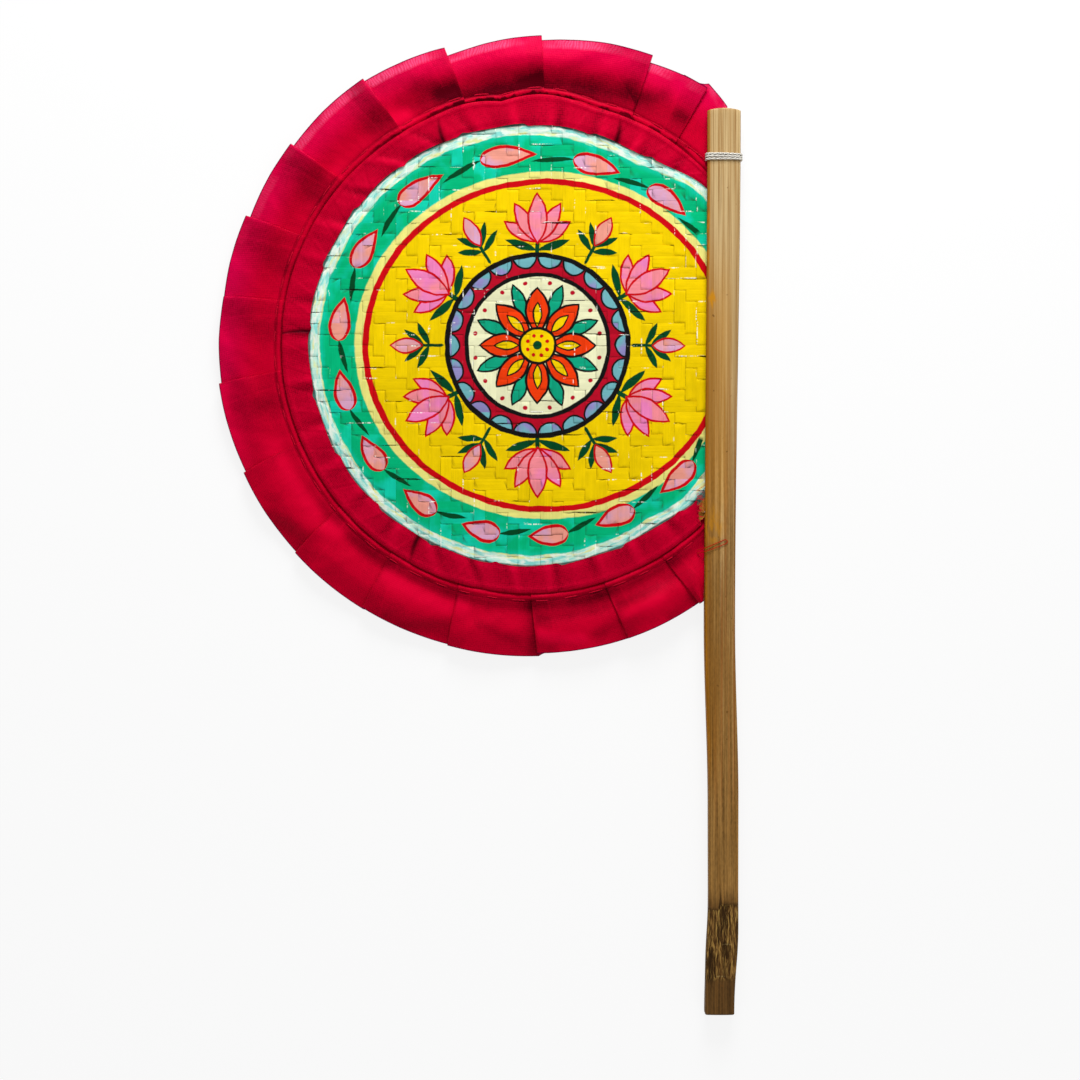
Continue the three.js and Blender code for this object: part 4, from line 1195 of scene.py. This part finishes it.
def paint_lotuses(finish, blade, under, radius, turn, cloud):
    """Lotus flowers round the rosette, each of five lens petals over a stem and two leaves, and a
    closed bud between each two of them."""
    between = repeated(turn, LOTUSES, 0.0)
    u, w = finish.spread(radius, between)
    u = u - 54.0
    for degrees, start in ((62.0, 0.0), (38.0, 2.5)):
        along, aside = turned(u - start, abs(w), degrees)
        leaf = lens(along, aside, 13.0, 1.7)
        under = plain(finish, under, leaf, blade.leaf)
    stem = 0.8 - abs(w) - 4.0 * finish.step(abs(u), 6.0, 12.0)
    under = plain(finish, under, stem, blade.leaf)
    pink = finish.mix(blade.lotus, blade.blush, finish.step(cloud, 0.44, 0.6))
    salmon = finish.mix(blade.bud, blade.mauve, finish.step(cloud, 0.42, 0.6))
    under = stamp(finish, under, lens(u - 3.0, w, 17.0, 4.0), blade.red, salmon, 1.0)
    local = repeated(turn, LOTUSES, math.pi / LOTUSES)
    u, w = finish.spread(radius, local)
    u = u - 49.5
    stem = 1.1 - abs(w) - 4.0 * finish.step(u, 3.0, 6.0)
    under = plain(finish, under, stem, blade.leaf)
    along, aside = turned(u + 2.0, abs(w), 72.0)
    leaf = lens(along, aside, 17.0, 2.0)
    under = plain(finish, under, leaf, blade.leaf)
    for degrees, start, length, half in ((58.0, 2.0, 20.0, 3.9), (30.0, 1.5, 23.5, 4.3)):
        along, aside = turned(u - start, abs(w), degrees)
        under = stamp(finish, under, lens(along, aside, length, half), blade.red, pink, 1.1)
    return stamp(finish, under, lens(u - 1.0, w, 26.0, 5.2), blade.red, pink, 1.1)


def paint_rosette(finish, blade, under, radius, turn, cloud):
    """A round medallion: black rings, scallops on a crimson band, and on a cream ground a rosette of
    orange-red petals and teal leaves round a yellow heart."""
    ink = blade.ink
    under = stamp(finish, under, 46.5 - radius, ink, blade.crimson, 1.9)
    local = repeated(turn, SCALLOPS, 0.0)
    reach = finish.distance(local * 41.0, 44.4 - radius)
    shell = finish.mix(blade.lavender, blade.sea, finish.step(cloud, 0.44, 0.54))
    scallop = (5.9 - reach).math("MINIMUM", 44.9 - radius)
    under = stamp(finish, under, scallop, ink, shell, 0.95)
    under = stamp(finish, under, 36.6 - radius, ink, blade.cream, 2.1)
    dots = finish.distance(repeated(turn, 2 * PETALS, math.pi / (2 * PETALS)) * 31.6, radius - 31.6)
    under = plain(finish, under, 1.1 - dots, blade.crimson)
    leaf_turn = repeated(turn, PETALS, math.pi / PETALS)
    u, w = finish.spread(radius, leaf_turn)
    under = stamp(finish, under, lens(u - 14.0, w, 19.0, 3.7), ink, blade.teal, 1.0)
    petal_turn = repeated(turn, PETALS, 0.0)
    u, w = finish.spread(radius, petal_turn)
    under = stamp(finish, under, lens(u - 5.0, w, 24.5, 6.3), ink, blade.orange, 1.25)
    under = stamp(finish, under, lens(u - 9.0, w, 13.0, 2.5), ink, blade.field, 0.8)
    under = stamp(finish, under, 9.6 - radius, ink, blade.field, 1.4)
    seeds = finish.distance(repeated(turn, PETALS, math.pi / PETALS) * 5.2, radius - 5.2)
    under = plain(finish, under, 0.95 - seeds, blade.red)
    return plain(finish, under, 2.2 - radius, blade.leaf)


def painted_finish(blade):
    """Poster paint brushed over the plait's front, with bare bamboo behind: wandering edges, patchy
    colour, a brightness for each split and float that is partly its own tone and partly painted
    reflection, dark sunk places that are partly unpainted and partly painted shade, and a few pale
    flecks at the edges."""
    finish = new_finish("painted_split")
    point = finish.point()
    sockets = {"Vector": point, "Scale": 140.0, "Detail": 3.0}
    drift = finish.add("ShaderNodeTexNoise", {}, sockets, "Color")
    wander = BRUSH_WANDER * MM
    settings = {"operation": "MULTIPLY_ADD"}
    moved = finish.add("ShaderNodeVectorMath", settings, {0: drift, 1: (wander, wander, 0.0), 2: point})
    x, y, _ = finish.parts(moved)
    x = (x - (BLADE_X + wander / 2)) / MM
    y = (y - (BLADE_Y + wander / 2)) / MM
    run, cross, tint, facet = (finish.attribute(name) for name in ("run", "cross", "tint", "facet"))
    cloud = finish.noise(point, 60.0, 3.0) + 0.24 * (facet - 0.5)
    paint, radius, turn = paint_rings(finish, blade, x, y, cloud)
    paint = paint_buds(finish, blade, paint, radius, turn, cloud)
    radius, turn = finish.polar(x - 4.0, y)
    paint = paint_lotuses(finish, blade, paint, radius, turn, cloud)
    paint = paint_rosette(finish, blade, paint, radius, turn, cloud)
    grain = finish.clouds(run * 45.0, cross * 5.0 + tint * 90.0, tint * 31.0, 3.0)
    patch = finish.clouds(run * 130.0, cross * 0.7 + tint * 70.0, 0.0)
    # Paint tone: brush patches and grain, and a brightness for each split and each float, partly their own
    # tone and partly painted reflection of their gloss.
    tone = 0.84 + 0.06 * tint + 0.12 * facet + 0.3 * (patch - 0.5) + 0.24 * (grain - 0.5)
    paint = finish.mix(paint, tone, 1.0, "MULTIPLY")
    # Near-white flecks along the splits' edges, in scattered patches and dots.
    dotted = finish.step(finish.clouds(run * 1100.0, tint * 50.0, 0.0, 1.0), 0.42, 0.54)
    fleck_patches = finish.step(finish.clouds(run * 95.0, cross + tint * 60.0, 2.0, 1.0), 0.63, 0.69)
    flecks = 0.95 * finish.step(abs(cross), 0.74, 0.9) * fleck_patches * dotted
    paint = finish.mix(paint, blade.fleck, flecks)
    bare = finish.mix(blade.bare, blade.bare_grain, finish.step(grain, 0.42, 0.7))
    bare = finish.mix(bare, 0.85 + 0.25 * tint, 1.0, "MULTIPLY")
    ground = finish.mix(bare, paint, finish.step(finish.attribute("painted"), 0.35, 0.65))
    # Sunk places darkened, partly for bare bamboo where paint doesn't reach and partly as painted shade.
    dark = finish.attribute("sunk") * finish.step(finish.noise(point, 230.0, 1.0), 0.3, 0.5)
    ground = finish.mix(ground, blade.sunk, 0.8 * dark)
    return finish.surface({
        "Base Color": ground,
        "Roughness": 0.55 + 0.25 * (grain - 0.5),
        "Specular IOR Level": 0.03,
        "Normal": finish.bump(grain + 0.5 * patch, 0.07 * MM),
    })


def frill_tones(finish, satin, along, across, weave):
    """Colour of the frill, with light and shade painted in: painted shade at the facing's hem, where the
    cloth lies doubled near a fold, in soft folds, along the stitches and in the hollow outside its seam,
    most of all at the top; painted highlights on ridges and along a pleat's hidden edge; and a painted pink
    sheen towards the rim.
    Along the rim it has a sheer hatched selvedge, thinnest on the side towards the butt, and a dark edge
    thread."""
    cloud, soft, slant, grain = weave
    names = ("cross", "past_fold", "past_hem", "soft", "front")
    cross, past_fold, past_hem, fold_shade_and_highlight, front = (finish.attribute(name) for name in names)
    height = (finish.parts(finish.point())[1] - BLADE_Y) / satin.rim
    lofty = finish.ease(height, 0.5, 0.8)
    # Painted shade where the cloth lies doubled near a fold.
    near_fold = (past_fold * past_fold * -1.2).math("EXPONENT")
    layers = 0.75 * near_fold + 0.25 * finish.ease(past_fold, 1.1, 0.9)
    # Painted highlight: a thin lighter line along a pleat's hidden edge.
    lap_highlight = finish.ease(abs(past_fold - 1.0), 0.12, 0.02)
    seam = finish.ease(past_hem, 3.2, 4.6)
    # Painted shade: a dark band outside the seam at the top of the blade and a weaker one low down, less on
    # the back.
    upper = finish.ease(height, 0.64, 0.88) * seam * finish.step(cross, 0.61, 0.31)
    lower = finish.ease(height, -0.3, -0.8) * seam * finish.ease(cross, 0.42, 0.22)
    hollows = front * (upper * (0.85 + 0.3 * layers) + 0.6 * lower)
    # Painted shade in the crevice outside the facing's hem, wider and darker at the top.
    loose = past_hem - 1.3 * lofty * finish.step(soft, 0.42, 0.58)
    crevice_shade = finish.ease(loose, 1.5, 0.5) * (0.55 + 0.35 * lofty)
    # Painted shade: a thin line along the stitches.
    groove = 0.35 * finish.step(abs(past_hem - 3.6), 1.1, 0.4)
    tones = 0.5 * (cloud - 0.5) + 0.35 * (soft - 0.5) + 0.1 * slant + 0.2 * grain
    # All the painted shade together, with the satin's own mottling in tones.
    shade = hollows + (0.1 + 0.1 * seam) * layers + crevice_shade + groove + fold_shade_and_highlight - 0.1 * lap_highlight + tones
    ground = finish.mix(satin.lit, satin.deep, shade)
    # Painted highlight on the ridges of the soft folds.
    ground = finish.mix(ground, satin.ridge, -fold_shade_and_highlight)
    # Painted sheen: pinker towards the rim, on all but the lowest part of the frill.
    painted_sheen = 0.4 * finish.ease(cross, 0.4, 0.95) * finish.ease(height, -0.5, 0.2)
    ground = finish.mix(ground, satin.painted_sheen, painted_sheen * (1 - shade))
    hatch = (along * (TURN / 1.3) + across * 1.3 + 24.0 * soft).math("SINE")
    stripe = finish.step(cross + 0.05 * (soft - 0.5), 0.835, 0.885) * finish.step(cross, 0.988, 0.98)
    sheer = stripe * (0.42 + 0.18 * hatch) * (1 - 0.9 * layers) * finish.ease(cloud, 0.36, 0.58)
    ground = finish.mix(ground, satin.selvedge, sheer * finish.ease(height, 0.2, 1.0))
    return finish.mix(ground, satin.edge, 0.85 * finish.step(cross, 0.984, 0.989))


def facing_tones(finish, satin, weave):
    """Colour of a facing, with light and shade painted in: painted shade between its gathers, painted
    highlights on them and along its rolled hem, and painted shade, nearly black, in its tucks."""
    cloud, soft, slant, grain = weave
    gathers = finish.attribute("gathers")
    # Painted shade between the gathers, with the satin's own mottling.
    shade = 0.5 * (cloud - 0.5) + 0.5 * (soft - 0.5) + 0.3 * slant - 0.5 * gathers + 0.45 * grain
    ground = finish.mix(satin.facing_red, satin.deep, shade)
    # Painted highlight on the gathers.
    ground = finish.mix(ground, satin.ridge, 0.3 * finish.step(gathers - 0.6 * grain, 0.1, 1.0))
    # Painted highlight along the rolled hem.
    ground = finish.mix(ground, satin.lit, 0.6 * finish.attribute("share"))
    # Painted shade, nearly black, in the tucks.
    return finish.mix(ground, darker(satin.deep, 0.12), finish.attribute("layers"))


def satin_finish(satin, name, trim):
    """Crimson satin with a fine slanting weave and soft tones, for the frill (trim) or the facings."""
    finish = new_finish(name)
    width = (satin.rim - satin.header if trim else satin.hem - satin.facing_inner) / MM
    along = finish.attribute("run") / MM
    across = finish.attribute("cross") * width
    cloud = finish.clouds(along * 0.045, across * 0.06, 0.0)
    soft = finish.clouds(along * 0.16, across * 0.11, 3.0)
    slant = (along * 3.6 + across * 2.9).math("SINE") * (along * 3.1 - across * 3.9).math("SINE")
    grain = finish.step(finish.clouds(along * 0.8, across * 1.2, 6.0, 1.0), 0.3, 0.7) - 0.5
    weave = (cloud, soft, slant, grain)
    if trim:
        ground = frill_tones(finish, satin, along, across, weave)
    else:
        ground = facing_tones(finish, satin, weave)
    return finish.surface({
        "Base Color": ground,
        "Roughness": 0.5 + 0.15 * (soft - 0.5),
        "Specular IOR Level": 0.22,
        "Specular Tint": satin.gloss,
        "Normal": finish.bump(soft + 0.06 * slant, 0.5 * MM),
    })


def thread_finish(name, yarn, groove):
    """Spun thread: its yarn's colour, with painted shade in the grooves of its lay, and fine fuzz."""
    finish = new_finish(name)
    fuzz = finish.noise(finish.point(), 5200.0, 2.0)
    deep = finish.attribute("groove")
    ground = finish.mix(yarn, groove, 0.75 * finish.step(deep, 0.35, 0.95) + 0.3 * (fuzz - 0.4))
    return finish.surface({
        "Base Color": ground,
        "Roughness": 0.75 + 0.2 * (fuzz - 0.5),
        "Specular IOR Level": 0.06,
        "Normal": finish.bump(fuzz, 0.08 * MM),
    })


def darker(shade, factor):
    """A colour with its channels scaled."""
    return tuple(factor * channel for channel in shade)


# Operators


class FanOperator:
    """What the fan's operators share."""

    bl_options = {"REGISTER", "UNDO"}


class FAN_OT_stage(FanOperator, bpy.types.Operator):
    """Set the camera over the fan, a pale floor under it, and soft lights round it"""

    bl_idname = "fan.stage"
    bl_label = "Stage"

    def execute(self, context):
        stage = context.scene.fan_stage
        lens_data = bpy.data.cameras.new("view")
        lens_data.lens = stage.lens
        lens_data.sensor_width = stage.sensor
        camera = bpy.data.objects.new("view", lens_data)
        camera.location = (stage.view_x, stage.view_y, stage.view_width * stage.lens / stage.sensor)
        context.scene.collection.objects.link(camera)
        context.scene.camera = camera
        context.scene.view_settings.view_transform = "Standard"
        self.make_floor(context, stage)
        self.make_lights(context, stage)
        return {"FINISHED"}

    def make_floor(self, context, stage):
        """A large flat sheet just under the fan, seen mostly as plain white, that keeps its shadow."""
        half = stage.floor_size / 2
        count = 5
        side = np.linspace(-half, half, count)
        x, y = np.meshgrid(side, side)
        under_fan = CAD_BOX[0][2] - 0.2 * MM
        points = np.stack([x, y, np.full_like(x, under_fan)], axis=-1).reshape(-1, 3)
        index = np.arange(count * count).reshape(count, count)
        quads = np.stack([index[:-1, :-1], index[:-1, 1:], index[1:, 1:], index[1:, :-1]], axis=-1)
        mesh = bpy.data.meshes.new("floor")
        mesh.from_pydata(points.tolist(), [], quads.reshape(-1, 4).tolist())
        finish = new_finish("floor_paper")
        matt = finish.add("ShaderNodeBsdfDiffuse", {}, {"Color": stage.floor})
        white = finish.add("ShaderNodeEmission", {}, {"Color": (1.0, 1.0, 1.0), "Strength": 1.0})
        share = finish.seen() * stage.floor_glow
        mixed = finish.add("ShaderNodeMixShader", {}, {0: share, 1: matt, 2: white})
        finish.add("ShaderNodeOutputMaterial", {}, {"Surface": mixed})
        mesh.materials.append(finish.owner)
        floor = bpy.data.objects.new("floor", mesh)
        context.scene.collection.objects.link(floor)

    def make_lights(self, context, stage):
        """An even white sky, a soft key over the stick's tip, and a weak fill over its butt."""
        world = bpy.data.worlds.new("studio")
        context.scene.world = world
        finish = Finish(world)
        strength = stage.sky + (1.0 - stage.sky) * finish.seen()
        sky = finish.add("ShaderNodeBackground", {}, {"Color": (1.0, 1.0, 1.0), "Strength": strength})
        finish.add("ShaderNodeOutputWorld", {}, {"Surface": sky})
        target = Vector((BLADE_X, BLADE_Y, 0.0))
        for name, power, place, width in (
            ("key", stage.key, (0.1, 0.8, 0.5), 0.5),
            ("fill", stage.fill, (0.3, -0.9, 1.1), 1.2),
        ):
            light = bpy.data.lights.new(name, "AREA")
            light.energy = power
            light.size = width
            lamp = bpy.data.objects.new(name, light)
            lamp.location = target + Vector(place)
            lamp.rotation_euler = (-Vector(place)).to_track_quat("-Z", "Y").to_euler()
            context.scene.collection.objects.link(lamp)


class FAN_OT_loose_thread(FanOperator, bpy.types.Operator):
    """Lay the seam's loose bight of thread over the stick"""

    bl_idname = "fan.loose_thread"
    bl_label = "Loose thread"

    def execute(self, context):
        scene = context.scene
        thread = scene.fan_thread
        path = loose_bight(scene.fan_stick, scene.fan_satin)
        skin, groove = tube(path, thread.loose / 2, 8, LOOSE_UP)
        shade = thread.bleached
        material = thread_finish("loose_cotton", shade, darker(shade, 0.5))
        piece = make_piece(
            "loose_thread", skin, material, ["seam_thread_end"], {"groove": groove}
        )
        return {"FINISHED"}


class FAN_OT_stick(FanOperator, bpy.types.Operator):
    """Make the slit bamboo stick"""

    bl_idname = "fan.stick"
    bl_label = "Stick"

    def execute(self, context):
        stick = context.scene.fan_stick
        halves = [stick_half(stick, side) for side in (1, -1)]
        values = {"cross": np.concatenate([bands["cross"] for _, bands in halves])}
        skin, values = welded(joined([skin for skin, _ in halves]), values)
        make_piece("bamboo_stick", skin, stick_finish(stick), ["handle"], values)
        return {"FINISHED"}


class FAN_OT_blade(FanOperator, bpy.types.Operator):
    """Plait the blade from its wefts and warps, painted on the front"""

    bl_idname = "fan.blade"
    bl_label = "Blade"

    def execute(self, context):
        blade = context.scene.fan_blade
        material = painted_finish(blade)
        for name, nodes, upright in (("mat_wefts", WEFT_NODES, False), ("mat_warps", WARP_NODES, True)):
            skin, values = plait(blade, upright)
            make_piece(name, skin, material, nodes, values, 50.0)
        return {"FINISHED"}


class FAN_OT_facings(FanOperator, bpy.types.Operator):
    """Bind the blade's rim with a satin facing on each face"""

    bl_idname = "fan.facings"
    bl_label = "Facings"

    def execute(self, context):
        satin = context.scene.fan_satin
        material = satin_finish(satin, "facing_satin", False)
        for name, node, side in (
            ("satin_facing_front", "facing_front", 1),
            ("satin_facing_back", "facing_back", -1),
        ):
            sheet, values = facing_sheet(satin, side)
            skin = ribbon(sheet, satin.cloth)
            piece = make_piece(name, skin, material, [node], values, 60.0)
        return {"FINISHED"}


class FAN_OT_frill(FanOperator, bpy.types.Operator):
    """Pleat the satin frill round the blade"""

    bl_idname = "fan.frill"
    bl_label = "Frill"

    def execute(self, context):
        satin = context.scene.fan_satin
        sheet, values, length = frill_sheet(satin, context.scene.fan_thread)
        material = satin_finish(satin, "frill_satin", True)
        skin = ribbon(sheet, satin.cloth)
        piece = make_piece("satin_frill", skin, material, ["frill"], values, 70.0)
        return {"FINISHED"}


class FAN_OT_stitches(FanOperator, bpy.types.Operator):
    """Sew the seam with running stitches and fray the facing's end"""

    bl_idname = "fan.stitches"
    bl_label = "Stitches"

    def execute(self, context):
        satin, thread = context.scene.fan_satin, context.scene.fan_thread
        shade = thread.seam
        material = thread_finish("seam_cotton", shade, darker(shade, 0.45))
        groups = (
            ("seam_stitches_front", stitch_paths(satin, thread, 1), thread.stitch, 2),
            ("seam_stitches_back", stitch_paths(satin, thread, -1), thread.stitch, 2),
            ("facing_frays", fray_paths(satin, thread), thread.fray, 0),
        )
        for name, paths, thickness, plies in groups:
            made = [tube(path, thickness / 2, 8, FACE_UP, plies, TURN / (1.2 * MM)) for path in paths]
            grooves = np.concatenate([groove for _, groove in made])
            skin = joined([skin for skin, _ in made])
            make_piece(name, skin, material, (), {"groove": grooves})
        return {"FINISHED"}


class FAN_OT_lashing(FanOperator, bpy.types.Operator):
    """Lash the slit shut below the tip with cotton"""

    bl_idname = "fan.lashing"
    bl_label = "Lashing"

    def execute(self, context):
        stick, thread = context.scene.fan_stick, context.scene.fan_thread
        path = lashing_path(stick, thread)
        skin, groove = tube(path, thread.lashing / 2, 16, STICK_UP, 3, TURN / (2.6 * MM))
        material = thread_finish("white_cotton", thread.cotton, thread.shaded_cotton)
        make_piece("cotton_lashing", skin, material, ["tip_lashing"], {"groove": groove})
        return {"FINISHED"}


class FAN_PT_panel(bpy.types.Panel):
    """Lists the fan's operators and properties"""

    bl_label = "Painted Bamboo Hand Fan"
    bl_space_type = "VIEW_3D"
    bl_region_type = "UI"
    bl_category = "Fan"

    def draw(self, context):
        for operator in OPERATORS:
            self.layout.operator(operator.bl_idname)
        for key, group in GROUPS.items():
            box = self.layout.box()
            box.label(text=group.__doc__)
            for name in group.__annotations__:
                box.prop(getattr(context.scene, key), name)


GROUPS = {
    "fan_stick": FanStick,
    "fan_blade": FanBlade,
    "fan_satin": FanSatin,
    "fan_thread": FanThread,
    "fan_stage": FanStage,
}
OPERATORS = (
    FAN_OT_stage,
    FAN_OT_loose_thread,
    FAN_OT_stick,
    FAN_OT_blade,
    FAN_OT_facings,
    FAN_OT_frill,
    FAN_OT_stitches,
    FAN_OT_lashing,
)


def register():
    """Register the classes and give each scene the fan's properties."""
    for item in (*GROUPS.values(), *OPERATORS, FAN_PT_panel):
        bpy.utils.register_class(item)
    for key, group in GROUPS.items():
        setattr(bpy.types.Scene, key, bpy.props.PointerProperty(type=group))


def unregister():
    """Take the properties and classes away again."""
    for key in GROUPS:
        delattr(bpy.types.Scene, key)
    for item in (FAN_PT_panel, *reversed(OPERATORS), *reversed(GROUPS.values())):
        bpy.utils.unregister_class(item)


def main():
    """Register the classes, then make the stage and every piece."""
    register()
    bpy.ops.fan.stage()
    bpy.ops.fan.loose_thread()
    bpy.ops.fan.stick()
    bpy.ops.fan.blade()
    bpy.ops.fan.facings()
    bpy.ops.fan.frill()
    bpy.ops.fan.stitches()
    bpy.ops.fan.lashing()


if __name__ == "__main__":
    main()
